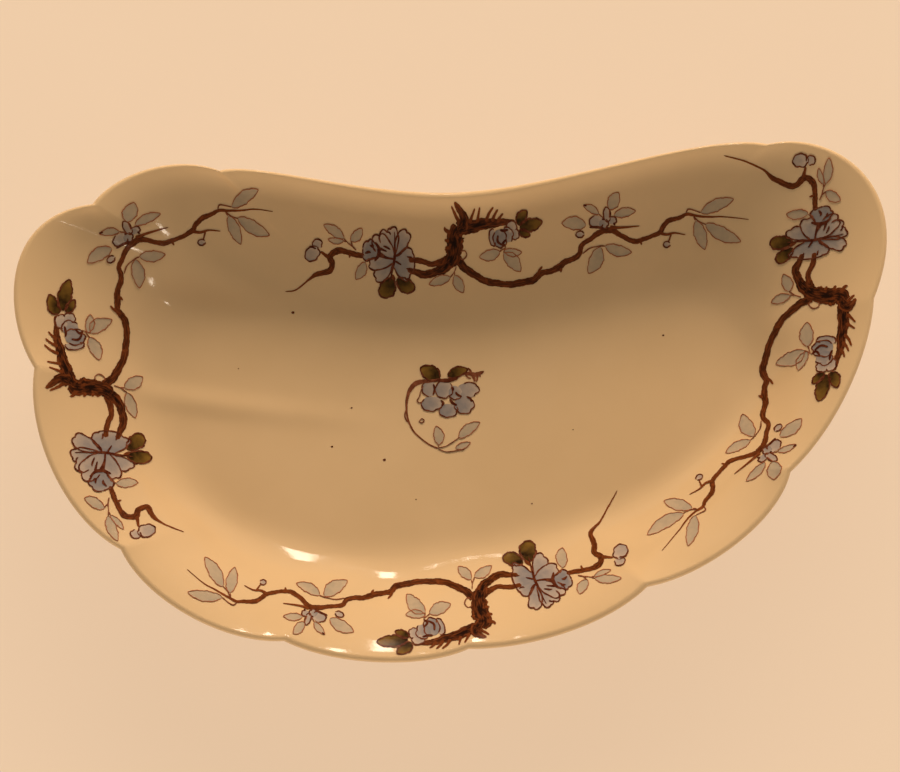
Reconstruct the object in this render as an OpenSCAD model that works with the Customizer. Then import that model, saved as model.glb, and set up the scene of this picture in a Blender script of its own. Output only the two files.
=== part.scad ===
// Crescent side dish of glazed porcelain with a scalloped rim, lying on its foot ring.
// Four printed flowering sprays run round its wall, and a small sprig lies in the middle.
// Origin: on the table, under the middle of the dish's outline.
// +X runs along the dish, +Y towards its hollow side and +Z up.

/* [Dish] */
// Length over the two rounded ends
dish_length = 159; // [130:1:190]
// Width from the front lobes to the back corner
dish_width = 95; // [80:0.5:120]
// Height of the rim above the table
dish_height = 19; // [15:0.5:26]
// Thickness of the flat floor
floor_thickness = 3; // [2:0.1:5]
// Thickness of the wall at its rounded lip
lip_thickness = 1.6; // [1.2:0.1:3]
// Slope of the wall at the rim in degrees
rim_slope = 32; // [20:1:38]
// Share of the wall's run from the floor at which the flutes below the scallops start
flute_start = 0.4; // [0.1:0.05:0.6]

/* [Foot] */
// Height of the foot ring
foot_height = 2.6; // [1.5:0.1:5]
// Width of the foot ring's flat face
foot_width = 3; // [2:0.1:6]
// Distance of the foot ring from the edge of the flat floor
foot_inset = 1.5; // [0.5:0.1:5]

/* [Print] */
// Thickness of the printed colour
print_thickness = 0.1; // [0.05:0.01:0.3]
// Clear space between the glaze and the printed colour
print_clearance = 0.15; // [0.12:0.01:0.3]
// Width of the printed branches as a share of the drawn width
line_weight = 1; // [0.6:0.05:1.15]
// Width of the printed leaves as a share of the drawn width
leaf_weight = 1; // [0.6:0.05:1.1]

/* [Hidden] */

glaze_ivory = "#E8D2AE";
biscuit = "#D9C4A0";
branch_brown = "#4A2612";
leaf_grey = "#A08C74";
olive_brown = "#5A4418";
blossom_blue = "#8C93A0";

// Rim in plan, clockwise. Each lobe has the notch that it starts at and two handles that bow it.
rim_lobes = [
    [[-61, 42.2], [-56.5, 47.7], [-45, 50.2]],
    [[-37.5, 46.1], [-30, 47.3], [-9, 37.2]],
    [[8.5, 37.3], [26, 37], [52, 44]],
    [[62.5, 40.5], [74.5, 42.3], [89.2, 30.2]],
    [[78.1, 9.5], [76.3, -0.8], [68.1, -14.2]],
    [[59.2, -20.8], [56.2, -29.6], [41.6, -38.2]],
    [[31.3, -38.9], [23.5, -45.2], [9, -48]],
    [[-1.5, -46.7], [-10.5, -49.7], [-26, -47]],
    [[-34, -41.8], [-44.5, -41.4], [-58, -32]],
    [[-61.4, -22.2], [-70.8, -16], [-76.8, 1]],
    [[-74, 12.7], [-79, 22.5], [-78.3, 42]]
];

// Edge of the flat floor in plan, clockwise, on the same sheet as the rim
floor_points = [
    [-42, 20.5], [-26, 19], [-8, 16], [8, 14.5], [26, 15.5], [42, 16], [52, 11], [55.5, 1], [50.5, -9.5],
    [37, -19], [18, -25], [-2, -27], [-22, -25.5], [-40, -18.5], [-49.5, -7.5], [-52.5, 4], [-50, 14]
];

// Each spray: the line that it is laid along, the tail at its near end, its stump's reach and its spread.
// The spread widens the drawing across the wall near the trunk, up to a limit, and fades out along the line.
line_start = -30;
line_step = 15;
spread_until = 12;
spread_end = 26;
spread_limit = 1;
back_stump = 9;
back_spray = [
    [[-27, 26.5], [-12, 26.5], [3, 26.5], [18, 26.5], [33, 26.5], [48, 26.5], [63, 26.5]],
    [[-22, 26.9], [-23.5, 26.2], [-26, 24.7], [-28, 24.6]],
    back_stump, 1
];
right_stump = 6.8;
right_spray = [
    [[61.9, 38.6], [67, 26.2], [67.5, 13], [62.5, -3], [52.5, -14], [40, -22.5], [30.5, -36]],
    [[63, 34.6], [61.4, 36.2], [58.2, 37.9], [54.3, 39.3]],
    right_stump, 1.3
];
front_stump = 7.2;
front_spray = [
    [[30, -24.5], [15.5, -31.5], [1.5, -36.5], [-14, -38.5], [-28.5, -33], [-41.5, -29.5], [-53, -23]],
    [[23, -26.6], [25, -24.5], [27, -21.6], [28.8, -19]],
    front_stump, 1.3
];
left_stump = 9.2;
left_spray = [
    [[-50.3, -18], [-60.3, -7.8], [-62, 8.5], [-63, 24.5], [-52.5, 33.5], [-37, 36], [-24.5, 37]],
    [[-55.5, -16], [-54, -17.3], [-52, -18.4], [-50.3, -19.2]],
    left_stump, 1.2
];

// Drawing of one spray, X along its line and Y towards the rim. A stroke's points are [x, y, width].
twig_stroke = [
    [-16.2, 2.3, 0.8], [-18, 2.9, 0.8], [-20, 3.8, 1], [-22.1, 3.4, 1], [-22, 2.1, 0.9], [-22.6, 0.8, 0.9]
];
tail_widths = [0.8, 0.4, 0.28, 0.18];
trunk_stroke = [
    [-7, -0.3, 1.2], [-4, -0.9, 1.6], [-1.2, -0.4, 2], [0.6, 1.2, 2.8], [1, 3, 2.8], [1.4, 4.8, 2.1]
];
stump_width = 0.8;
limb_stroke = [[3.2, 4.3, 1.8], [5, 4.9, 2], [8, 5, 2], [10.2, 4.8, 1.4]];
arch_stroke = [
    [1.6, -1.3, 1.3], [2.8, -2.1, 1.3], [5.5, -3.7, 1.2], [9, -4.6, 1.1], [12, -4.9, 1], [15, -4.5, 1],
    [17.5, -3.5, 0.9], [20, -2.7, 0.9], [22.5, -1.7, 0.9], [24.3, 0.3, 0.9], [26.5, 1.7, 0.9],
    [29, 2.2, 1.1], [31, 1.7, 1], [33.5, 0.5, 0.8], [36, 0.5, 0.7], [38.5, 1.1, 0.7], [40, 2.4, 0.8],
    [41.5, 3.2, 0.7], [44, 3.5, 0.6], [47, 3.5, 0.35], [52, 3.1, 0.25], [55.5, 2.2, 0.2]
];
spike_strokes = [
    [[5, 6.2, 0.5], [5.3, 7, 0.2]],
    [[6.7, 6.3, 0.5], [7, 7.1, 0.2]],
    [[8.6, 6.2, 0.5], [9.4, 6.8, 0.2]]
];

// Leaves of one spray: [foot x, foot y, tip x, tip y, width]
leaf_marks = [
    [-19.3, 5.8, -22.6, 8.1, 1.6], [-18.8, 4.5, -22.2, 5.6, 0.8], [-18, 4.7, -15.7, 6.7, 1.6],
    [-16.2, 1.2, -17.9, -1.1, 1.9], [-0.6, -2.5, -4.6, -3.5, 1.2], [0.2, -2.8, 1.9, -5.4, 1.7],
    [8.6, 0.3, 5.2, -0.2, 1.4], [10, 0, 12.9, 0.1, 1.2], [9.6, -0.7, 12.5, -2.8, 2],
    [24.6, 3.3, 20.6, 3.7, 1.6], [29.2, 6, 31.9, 8.1, 1.9], [30.4, 4.5, 34.4, 4.8, 1.4],
    [26.3, 5.7, 25, 6.9, 1.2], [27.4, -0.3, 25, -4.2, 2.3], [28.8, -0.3, 33.2, -1.3, 1.6],
    [47, 4.5, 52.8, 5.4, 1.3], [45.6, 2.6, 47, -1.8, 2], [47.3, 2.3, 53.6, -1, 1.6],
    [40.6, 0.2, 39, -0.7, 0.9]
];
dark_leaf_marks = [
    [-11, -1.7, -14.6, -3.4, 2.8], [-9.9, -2, -7.3, -3.5, 1.9],
    [12.9, 5, 14.5, 6.6, 1.5], [13.8, 3.9, 17.2, 4.2, 1.5], [13, 3, 15.4, 2.2, 1]
];
// Blossoms of one spray: [middle x, middle y, half length, half height]
blossom_marks = [
    [-11.9, 2.4, 3.7, 3.4], [-6.9, 2.4, 1, 1], [-25.2, 4.5, 1.7, 1.3], [9.6, 2.6, 2.3, 1.7],
    [27.7, 4, 2.1, 1.2]
];

// Sprig in the middle of the floor, drawn on the same sheet as the rim
sprig_strokes = [
    [
        [-5.2, 5.3, 0.9], [-6.6, 4.4, 0.8], [-7.5, 2.8, 0.6], [-8, 0.6, 0.45], [-7.9, -1.7, 0.4],
        [-7.2, -3.9, 0.35], [-6, -5.4, 0.3], [-4.4, -6.9, 0.3], [-3.2, -7.5, 0.25]
    ],
    [[-2.4, -8.1, 0.3], [-0.3, -8.5, 0.3], [1.4, -8.7, 0.25]]
];
sprig_leaf_marks = [[-2.7, -7, -2.9, -3.5, 1.9], [1, -6.1, 5.1, -3.6, 1.9], [0.2, -7.8, 3, -7.2, 1.1]];
sprig_dark_marks = [[-1.6, 5.4, -4.6, 8, 2.8], [0.2, 5.7, 3.9, 6.6, 2], [4.3, 5.4, 6.4, 5.5, 1.3]];
sprig_blossom_mark = [0.2, 1.4, 5.4, 3.4];

// Form of the leaves and blossoms
leaf_lean = 0.9;
leaf_fullness = 0.8;
petal_depth = 0.1;
petal_turns = 1.5;

// Fineness of the meshes. A blossom longer than a bud takes more rows and points across.
lobe_steps = 13;
floor_steps = 8;
wall_steps = 12;
lip_steps = 5;
under_steps = 9;
stroke_steps = 2;
leaf_steps = 5;
bud_half_length = 3;
bud_grid = [6, 2];
blossom_grid = [8, 3];
thinnest_line = 0.12;
line_nudge = 0.01;

// Point on a cubic curve from a to d with the handles b and c
function cubic(a, b, c, d, t) =
    pow(1 - t, 3) * a + 3 * pow(1 - t, 2) * t * b + 3 * (1 - t) * pow(t, 2) * c + pow(t, 3) * d;

// Point between b and c on the smooth curve through a, b, c and d
function through(a, b, c, d, t) =
    b + t * (c - a) / 2
    + pow(t, 2) * (2 * a - 5 * b + 4 * c - d) / 2
    + pow(t, 3) * (3 * b - a - 3 * c + d) / 2;

function total(list) = list * [for (v = list) 1];
function last_of(list) = list[len(list) - 1];

// Item i of a list, carried straight on past the two ends
function carried(list, i) =
    i < 0 ? 2 * list[0] - list[1]
    : i >= len(list) ? 2 * last_of(list) - list[len(list) - 2]
    : list[i];

// Point on the smooth open curve through a list, u counted in spans
function on_curve(list, u) =
    let (i = max(0, min(len(list) - 2, floor(u))))
    through(carried(list, i - 1), list[i], list[i + 1], carried(list, i + 2), u - i);

// Rim as drawn, and its fit to the dish's length and width
rim_sheet = [
    for (i = [0 : len(rim_lobes) - 1], k = [0 : lobe_steps - 1])
        let (lobe = rim_lobes[i], next = rim_lobes[(i + 1) % len(rim_lobes)])
        cubic(lobe[0], lobe[1], lobe[2], next[0], k / lobe_steps)
];
sheet_low = [min([for (p = rim_sheet) p.x]), min([for (p = rim_sheet) p.y])];
sheet_high = [max([for (p = rim_sheet) p.x]), max([for (p = rim_sheet) p.y])];
sheet_middle = (sheet_low + sheet_high) / 2;
stretch = [dish_length / (sheet_high.x - sheet_low.x), dish_width / (sheet_high.y - sheet_low.y)];
function place(p) = [(p.x - sheet_middle.x) * stretch.x, (p.y - sheet_middle.y) * stretch.y];

rim = [for (p = rim_sheet) place(p)];
columns = len(rim);
floor_edge = [
    for (i = [0 : len(floor_points) - 1], k = [0 : floor_steps - 1])
        let (count = len(floor_points))
        place(through(floor_points[(i + count - 1) % count], floor_points[i], floor_points[(i + 1) % count],
            floor_points[(i + 2) % count], k / floor_steps))
];

// Angle of a point round the middle, clockwise from the first notch
first_angle = atan2(rim[0].y, rim[0].x);
function turn(p) = (first_angle - atan2(p.y, p.x) + 720) % 360;

// Outline evened out over the length of a lobe, and the rim with its scallops evened out twice
lobe_half = floor(lobe_steps / 2);
function evened(outline) =
    [
        for (j = [0 : columns - 1])
            let (near = [for (k = [-lobe_half : lobe_half]) outline[(j + k + columns) % columns]])
            [total([for (p = near) p.x]), total([for (p = near) p.y])] / len(near)
    ];
even_rim = evened(evened(rim));

// Radius of a closed clockwise outline at each angle, carried on past a full turn at both ends
function polar(outline) =
    let (
        count = len(outline),
        seam = [for (i = [0 : count - 1]) if (turn(outline[i]) > turn(outline[(i + 1) % count])) i][0],
        turns = [for (i = [1 : count]) let (p = outline[(seam + i) % count]) [turn(p), norm(p)]],
        whole = [360, 0]
    )
    concat([turns[count - 1] - whole], turns, [turns[0] + whole]);
rim_radius = polar(rim);
even_radius = polar(even_rim);
floor_radius = polar(floor_edge);

// Heights and the lip's round
floor_z = foot_height + floor_thickness;
lip_radius = lip_thickness / 2;
lip_setback = lip_radius * (1 + sin(rim_slope));
wall_height = dish_height - lip_radius * (1 - cos(rim_slope)) - floor_z;

// Wall at an angle: [radius of the floor's edge, run of the evened wall, bend that the scallop gives].
// The bend grows with the square of the share climbed past the start of the flutes.
function wall(angle) =
    let (
        edge = lookup(angle, floor_radius),
        even = lookup(angle, even_radius) - lip_setback - edge,
        full = lookup(angle, rim_radius) - lip_setback - edge
    )
    [edge, even, (full - even) / pow(1 - flute_start, 2)];
function reach(w, share) = w[0] + w[1] * share + w[2] * pow(max(0, share - flute_start), 2);
function pace(w, share) = w[1] + 2 * w[2] * max(0, share - flute_start);
// Share of the wall at a radius, from 0 at the floor's edge to 1 at the lip
function share_at(w, radius) =
    let (out = max(0, radius - w[0]), past = out - w[1] * flute_start)
    past <= 0 ? out / w[1]
    : min(1, flute_start + 2 * past / (w[1] + sqrt(max(0, pow(w[1], 2) + 4 * w[2] * past))));

// Height at a share of the wall, as a share of its height: level at the floor, at the rim's slope at the lip
function end_climb(w) = tan(rim_slope) * w[1] / wall_height;
function climbed(w, share) = (3 - end_climb(w)) * pow(share, 2) + (end_climb(w) - 2) * pow(share, 3);
function climb_rate(w, share) = 2 * (3 - end_climb(w)) * share + 3 * (end_climb(w) - 2) * pow(share, 2);
// Angle that the wall leans at there
function lean_angle(w, share) = atan(climb_rate(w, share) * wall_height / pace(w, share));

// Height of the glazed upper surface at a point in plan
function glaze_z(p) =
    let (w = wall(turn(p)))
    floor_z + wall_height * climbed(w, share_at(w, norm(p)));

// One column of the dish's section as [radius, height]: up the wall, over the lip and back underneath
function section(angle) =
    let (w = wall(angle), lip_r = reach(w, 1), lip_z = floor_z + wall_height)
    concat(
        [
            for (k = [0 : wall_steps])
                let (share = k / wall_steps)
                [reach(w, share), floor_z + wall_height * climbed(w, share)]
        ],
        [
            for (k = [1 : lip_steps - 1])
                let (a = 90 + rim_slope - 180 * k / lip_steps)
                [
                    lip_r + lip_radius * (sin(rim_slope) + cos(a)),
                    lip_z + lip_radius * (sin(a) - cos(rim_slope))
                ]
        ],
        [
            for (k = [under_steps : -1 : 0])
                let (
                    share = k / under_steps,
                    lean = lean_angle(w, share),
                    thickness = floor_thickness + (lip_thickness - floor_thickness) * share
                )
                [
                    reach(w, share) + thickness * sin(lean),
                    floor_z + wall_height * climbed(w, share) - thickness * cos(lean)
                ]
        ]
    );

// Closed shell of the dish: all columns round, with a fan over the floor and one under it
function body_points() =
    let (sections = [for (p = rim) section(turn(p))], rings = len(sections[0]))
    concat(
        [
            for (k = [0 : rings - 1], j = [0 : columns - 1])
                let (a = first_angle - turn(rim[j]), q = sections[j][k])
                [q.x * cos(a), q.x * sin(a), q.y]
        ],
        [[0, 0, floor_z], [0, 0, foot_height]]
    );
function body_faces() =
    let (
        rings = wall_steps + 1 + lip_steps - 1 + under_steps + 1,
        last = (rings - 1) * columns,
        floor_middle = rings * columns
    )
    concat(
        [
            for (k = [0 : rings - 2], j = [0 : columns - 1], half = [0, 1])
                let (a = k * columns + j, d = k * columns + (j + 1) % columns)
                half == 0 ? [a, a + columns, d + columns] : [a, d + columns, d]
        ],
        [for (j = [0 : columns - 1]) [floor_middle, j, (j + 1) % columns]],
        [for (j = [0 : columns - 1]) [floor_middle + 1, last + (j + 1) % columns, last + j]]
    );

// Outline that keeps a set distance inside the floor's edge
function inside_floor(distance) =
    [
        for (p = rim)
            let (r = lookup(turn(p), floor_radius) - distance)
            r * p / norm(p)
    ];

// Distance of a drawn point from its spray's line once the drawing is widened
function widened(spray, q) =
    let (fade = max(0, min(1, (spread_end - q.x) / (spread_end - spread_until))))
    q.y + max(-spread_limit, min(spread_limit, (spray[3] - 1) * fade * q.y));

// A drawn point laid along a spray's line: x runs along it, y stands off it towards the rim
function lay(spray, q) =
    let (
        places = [for (p = spray[0]) place(p)],
        u = (q.x - line_start) / line_step,
        p = on_curve(places, u),
        ahead = on_curve(places, u + line_nudge) - on_curve(places, u - line_nudge),
        along = ahead / norm(ahead)
    )
    p + widened(spray, q) * [-along.y, along.x];
// A drawn point put down on a spray's line, or straight on the sheet where there is no spray
function put(spray, q) = is_undef(spray) ? place(q) : lay(spray, q);
function put_stroke(spray, stroke) = [for (q = stroke) let (p = put(spray, q)) [p.x, p.y, q.z]];

// Ribbon along a stroke: rows of a left and a right point
function ribbon(stroke) =
    let (
        spans = len(stroke) - 1,
        fine = [for (k = [0 : spans * stroke_steps]) on_curve(stroke, k / stroke_steps)]
    )
    [
        for (k = [0 : len(fine) - 1])
            let (
                ahead = carried(fine, k + 1) - carried(fine, k - 1),
                side = [-ahead.y, ahead.x] / norm([ahead.x, ahead.y]),
                half = max(thinnest_line, fine[k].z * line_weight) / 2,
                p = [fine[k].x, fine[k].y]
            )
            [p + half * side, p - half * side]
    ];

// Leaf from its foot to its tip, widest a little before the middle
function leaf(spray, mark) =
    let (
        foot = [mark[0], mark[1]],
        tip = [mark[2], mark[3]],
        side = [foot.y - tip.y, tip.x - foot.x] / norm(tip - foot)
    )
    [
        for (k = [0 : leaf_steps])
            let (
                share = k / leaf_steps,
                bow = pow(sin(180 * pow(share, leaf_lean)), leaf_fullness),
                half = max(thinnest_line, mark[4] * leaf_weight * bow) / 2,
                p = foot + share * (tip - foot)
            )
            [put(spray, p + half * side), put(spray, p - half * side)]
    ];

// Blossom: an oval with a scalloped edge, in rows across its length
function blossom(spray, mark) =
    let (grid = mark[2] > bud_half_length ? blossom_grid : bud_grid)
    [
        for (k = [0 : grid.x])
            let (
                share = 2 * k / grid.x - 1,
                petal = 1 - petal_depth + petal_depth * cos(360 * petal_turns * share),
                half = max(thinnest_line, mark[3] * sqrt(max(0, 1 - pow(share, 2))) * petal)
            )
            [
                for (j = [0 : grid.y])
                    put(spray, [mark[0] + mark[2] * share, mark[1] + half * (1 - 2 * j / grid.y)])
            ]
    ];

// Closed slab of printed colour over a grid of plan points, lying just above the glaze
function slab(grid) =
    let (
        rows = len(grid),
        across = len(grid[0]),
        flat = [for (row = grid) each row],
        under = [for (p = flat) glaze_z(p) + print_clearance],
        size = rows * across,
        loop = concat(
            [for (i = [0 : rows - 2]) i * across],
            [for (k = [0 : across - 2]) (rows - 1) * across + k],
            [for (i = [rows - 1 : -1 : 1]) i * across + across - 1],
            [for (k = [across - 1 : -1 : 1]) k]
        )
    )
    [
        concat(
            [for (i = [0 : size - 1]) [flat[i].x, flat[i].y, under[i] + print_thickness]],
            [for (i = [0 : size - 1]) [flat[i].x, flat[i].y, under[i]]]
        ),
        concat(
            [
                for (i = [0 : rows - 2], k = [0 : across - 2], half = [0, 1])
                    let (a = i * across + k, b = a + across)
                    half == 0 ? [a, b, b + 1] : [a, b + 1, a + 1]
            ],
            [
                for (i = [0 : rows - 2], k = [0 : across - 2], half = [0, 1])
                    let (a = size + i * across + k, b = a + across)
                    half == 0 ? [a, b + 1, b] : [a, a + 1, b + 1]
            ],
            [
                for (i = [0 : len(loop) - 1], half = [0, 1])
                    let (a = loop[i], b = loop[(i + 1) % len(loop)])
                    half == 0 ? [b, a, a + size] : [b, a + size, b + size]
            ]
        )
    ];

// Separate slabs as one solid object
module print_slabs(grids) {
    slabs = [for (grid = grids) slab(grid)];
    starts = [for (i = 0, start = 0; i < len(slabs); start = start + len(slabs[i][0]), i = i + 1) start];
    polyhedron(
        points = [for (s = slabs) each s[0]],
        faces = [for (i = [0 : len(slabs) - 1], face = slabs[i][1]) [for (v = face) v + starts[i]]]
    );
}

// Twig with its tail, trunk with its stump, limb, arching branch and spikes of one spray
module spray_branch(spray) {
    tail = [
        for (k = [0 : len(tail_widths) - 1])
            let (p = place(spray[1][k]))
            [p.x, p.y, tail_widths[k]]
    ];
    stump_top = [last_of(trunk_stroke).x, spray[2], stump_width];
    color(branch_brown)
        print_slabs(concat(
            [ribbon(concat(put_stroke(spray, twig_stroke), tail))],
            [ribbon(put_stroke(spray, concat(trunk_stroke, [stump_top])))],
            [
                for (stroke = concat([limb_stroke, arch_stroke], spike_strokes))
                    ribbon(put_stroke(spray, stroke))
            ]
        ));
}

module spray_leaves(spray) {
    color(leaf_grey)
        print_slabs([for (mark = leaf_marks) leaf(spray, mark)]);
}

module spray_dark_leaves(spray) {
    color(olive_brown)
        print_slabs([for (mark = dark_leaf_marks) leaf(spray, mark)]);
}

module spray_blossoms(spray) {
    color(blossom_blue)
        print_slabs([for (mark = blossom_marks) blossom(spray, mark)]);
}

module dish_body() {
    color(glaze_ivory)
        polyhedron(points = body_points(), faces = body_faces());
}

module foot_ring() {
    color(biscuit)
        linear_extrude(height = foot_height)
            difference() {
                polygon(inside_floor(foot_inset));
                polygon(inside_floor(foot_inset + foot_width));
            }
}

module back_branch() spray_branch(back_spray);
module back_leaves() spray_leaves(back_spray);
module back_dark_leaves() spray_dark_leaves(back_spray);
module back_blossoms() spray_blossoms(back_spray);
module right_branch() spray_branch(right_spray);
module right_leaves() spray_leaves(right_spray);
module right_dark_leaves() spray_dark_leaves(right_spray);
module right_blossoms() spray_blossoms(right_spray);
module front_branch() spray_branch(front_spray);
module front_leaves() spray_leaves(front_spray);
module front_dark_leaves() spray_dark_leaves(front_spray);
module front_blossoms() spray_blossoms(front_spray);
module left_branch() spray_branch(left_spray);
module left_leaves() spray_leaves(left_spray);
module left_dark_leaves() spray_dark_leaves(left_spray);
module left_blossoms() spray_blossoms(left_spray);

module centre_stem() {
    color(branch_brown)
        print_slabs([for (stroke = sprig_strokes) ribbon(put_stroke(undef, stroke))]);
}

module centre_leaves() {
    color(leaf_grey)
        print_slabs([for (mark = sprig_leaf_marks) leaf(undef, mark)]);
}

module centre_dark_leaves() {
    color(olive_brown)
        print_slabs([for (mark = sprig_dark_marks) leaf(undef, mark)]);
}

module centre_blossom() {
    color(blossom_blue)
        print_slabs([blossom(undef, sprig_blossom_mark)]);
}

dish_body();
foot_ring();
back_branch();
back_leaves();
back_dark_leaves();
back_blossoms();
right_branch();
right_leaves();
right_dark_leaves();
right_blossoms();
front_branch();
front_leaves();
front_dark_leaves();
front_blossoms();
left_branch();
left_leaves();
left_dark_leaves();
left_blossoms();
centre_stem();
centre_leaves();
centre_dark_leaves();
centre_blossom();
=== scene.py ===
"""Crescent side dish of glazed porcelain with printed flowering sprays, lying on its foot ring.

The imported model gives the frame. The glazed body and the foot ring are worked out on fine grids from the
same sizes as the part, and each printed colour is a thin film of strokes, leaves and petals on the glaze.
Lengths are millimetres and angles are degrees until a mesh or a lamp is made.
"""
import logging
import math
from dataclasses import dataclass, field
from enum import Enum

import bpy
import numpy as np
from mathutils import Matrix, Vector
from numpy.typing import NDArray


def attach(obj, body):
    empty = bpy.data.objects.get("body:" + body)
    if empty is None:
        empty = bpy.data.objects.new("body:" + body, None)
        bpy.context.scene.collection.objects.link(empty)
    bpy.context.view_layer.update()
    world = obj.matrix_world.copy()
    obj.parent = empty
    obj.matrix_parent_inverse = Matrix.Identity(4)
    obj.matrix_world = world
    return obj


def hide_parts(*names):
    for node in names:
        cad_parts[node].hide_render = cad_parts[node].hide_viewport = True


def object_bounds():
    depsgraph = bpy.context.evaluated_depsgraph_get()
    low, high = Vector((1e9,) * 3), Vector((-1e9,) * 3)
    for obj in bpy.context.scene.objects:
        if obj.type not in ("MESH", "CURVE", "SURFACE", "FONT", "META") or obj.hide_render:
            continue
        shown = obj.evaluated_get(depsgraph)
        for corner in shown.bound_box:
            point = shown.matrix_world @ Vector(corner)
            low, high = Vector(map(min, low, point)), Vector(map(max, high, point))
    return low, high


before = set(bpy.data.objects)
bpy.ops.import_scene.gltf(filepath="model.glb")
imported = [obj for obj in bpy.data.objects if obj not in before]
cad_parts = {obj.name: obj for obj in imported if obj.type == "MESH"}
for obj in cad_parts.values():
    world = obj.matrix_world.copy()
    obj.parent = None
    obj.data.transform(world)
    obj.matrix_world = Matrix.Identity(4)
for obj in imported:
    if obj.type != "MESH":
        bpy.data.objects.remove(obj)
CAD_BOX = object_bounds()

LOG = logging.getLogger("side_dish")
Array = NDArray[np.float64]
Colour = tuple[float, float, float]
Mark = tuple[float, ...]
Marks = tuple[Mark, ...]
Stroke = tuple[Mark, ...]
Wall = tuple[Array, Array, Array]

BODY = "root"
MM = 0.001
TINY = 1e-9
SHARP_ANGLE = math.radians(50)
NOISE_DETAIL = 3.0
BUMP_DEPTH = 0.1
# Depth, pitch and share of the seed in each sine of a ripple.
RIPPLE_SINES = ((0.5, 1.4, 1.0), (0.3, 3.3, 1.7), (0.2, 7.9, 2.9))


class Slot(Enum):
    """Finish slots of the part's record."""

    GLAZE = "glaze"
    BARE_FOOT = "bare_foot"
    BRANCH = "print_branch"
    LEAF = "print_leaf"
    DARK_LEAF = "print_dark_leaf"
    BLOSSOM = "print_blossom"


class Shine(Enum):
    """What a lamp does: lights the surfaces, or is only seen mirrored in them."""

    LIGHTS = "lights"
    MIRRORED = "mirrored"


class Pattern(Enum):
    """Ways in which a finish's second colour is spread: clouds in space, or streaks along a stroke."""

    CLOUDS = "Object"
    STREAKS = "UV"


def curve_through(points: Array, u: Array, closed: bool = False) -> Array:
    """Smooth curve through a list of points.

    Between two points it is the cubic whose slope at each point is half the step between that point's
    neighbours. An open list is carried straight on by one point at each end.

    Args:
        points: the points, one a row.
        u: places on the curve, counted in spans from the first point.
        closed: whether the list runs round.

    Returns:
        One row for each place.
    """
    count = len(points)
    if closed:
        at = np.floor(u).astype(int)
        a, b, c, d = (points[(at + k) % count] for k in (-1, 0, 1, 2))
    else:
        at = np.clip(np.floor(u).astype(int), 0, count - 2)
        carried = np.vstack([2 * points[:1] - points[1:2], points, 2 * points[-1:] - points[-2:-1]])
        a, b, c, d = (carried[at + k] for k in (0, 1, 2, 3))
    t = (u - at)[:, None]
    return b + t * (c - a) / 2 + t**2 * (2 * a - 5 * b + 4 * c - d) / 2 + t**3 * (3 * b - a - 3 * c + d) / 2


def smooth_line(points: Stroke, steps: int = 10) -> Array:
    """Closely spaced points of the smooth curve through a few drawn ones."""
    drawn = np.array(points, float)
    return curve_through(drawn, np.linspace(0, len(drawn) - 1, (len(drawn) - 1) * steps + 1))


def lengths_along(path: Array) -> Array:
    """Length from a path's start to each of its points."""
    return np.concatenate([[0], np.cumsum(np.linalg.norm(np.diff(path, axis=0), axis=-1))])


def ripple(s: Array, seed: float) -> Array:
    """Uneven wave between -1 and 1 along a length: three sines of unlike pitch, set off by the seed."""
    return sum(depth * np.sin(pitch * s + turn * seed) for depth, pitch, turn in RIPPLE_SINES)


def quarter_left(ways: Array) -> Array:
    """Ways in plan, each turned a quarter turn to the left."""
    return np.stack([-ways[:, 1], ways[:, 0]], axis=-1)


def across_path(path: Array, side: Array, left: Array, right: Array, v: Array) -> Array:
    """Grid of points across a path.

    Each point stands off the path by its way across times the half width on its side.

    Args:
        path: points in plan.
        side: way to the left at each point.
        left: half width to the left at each point.
        right: half width to the right at each point.
        v: ways across, from 1 at the left to -1 at the right.

    Returns:
        A row for each point of the path and a column for each way across.
    """
    offset = np.where(v > 0, v * left[:, None], v * right[:, None])
    return path[:, None, :] + offset[..., None] * side[:, None, :]


@dataclass(frozen=True)
class Ripple:
    """Ripple of one depth and pitch, with a turn that sets it off from others with the same seed."""

    depth: float
    pitch: float
    turn: float

    def along(self, s: Array, seed: float) -> Array:
        """Height of the ripple at each length."""
        return self.depth * ripple(self.pitch * s, seed + self.turn)


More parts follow.
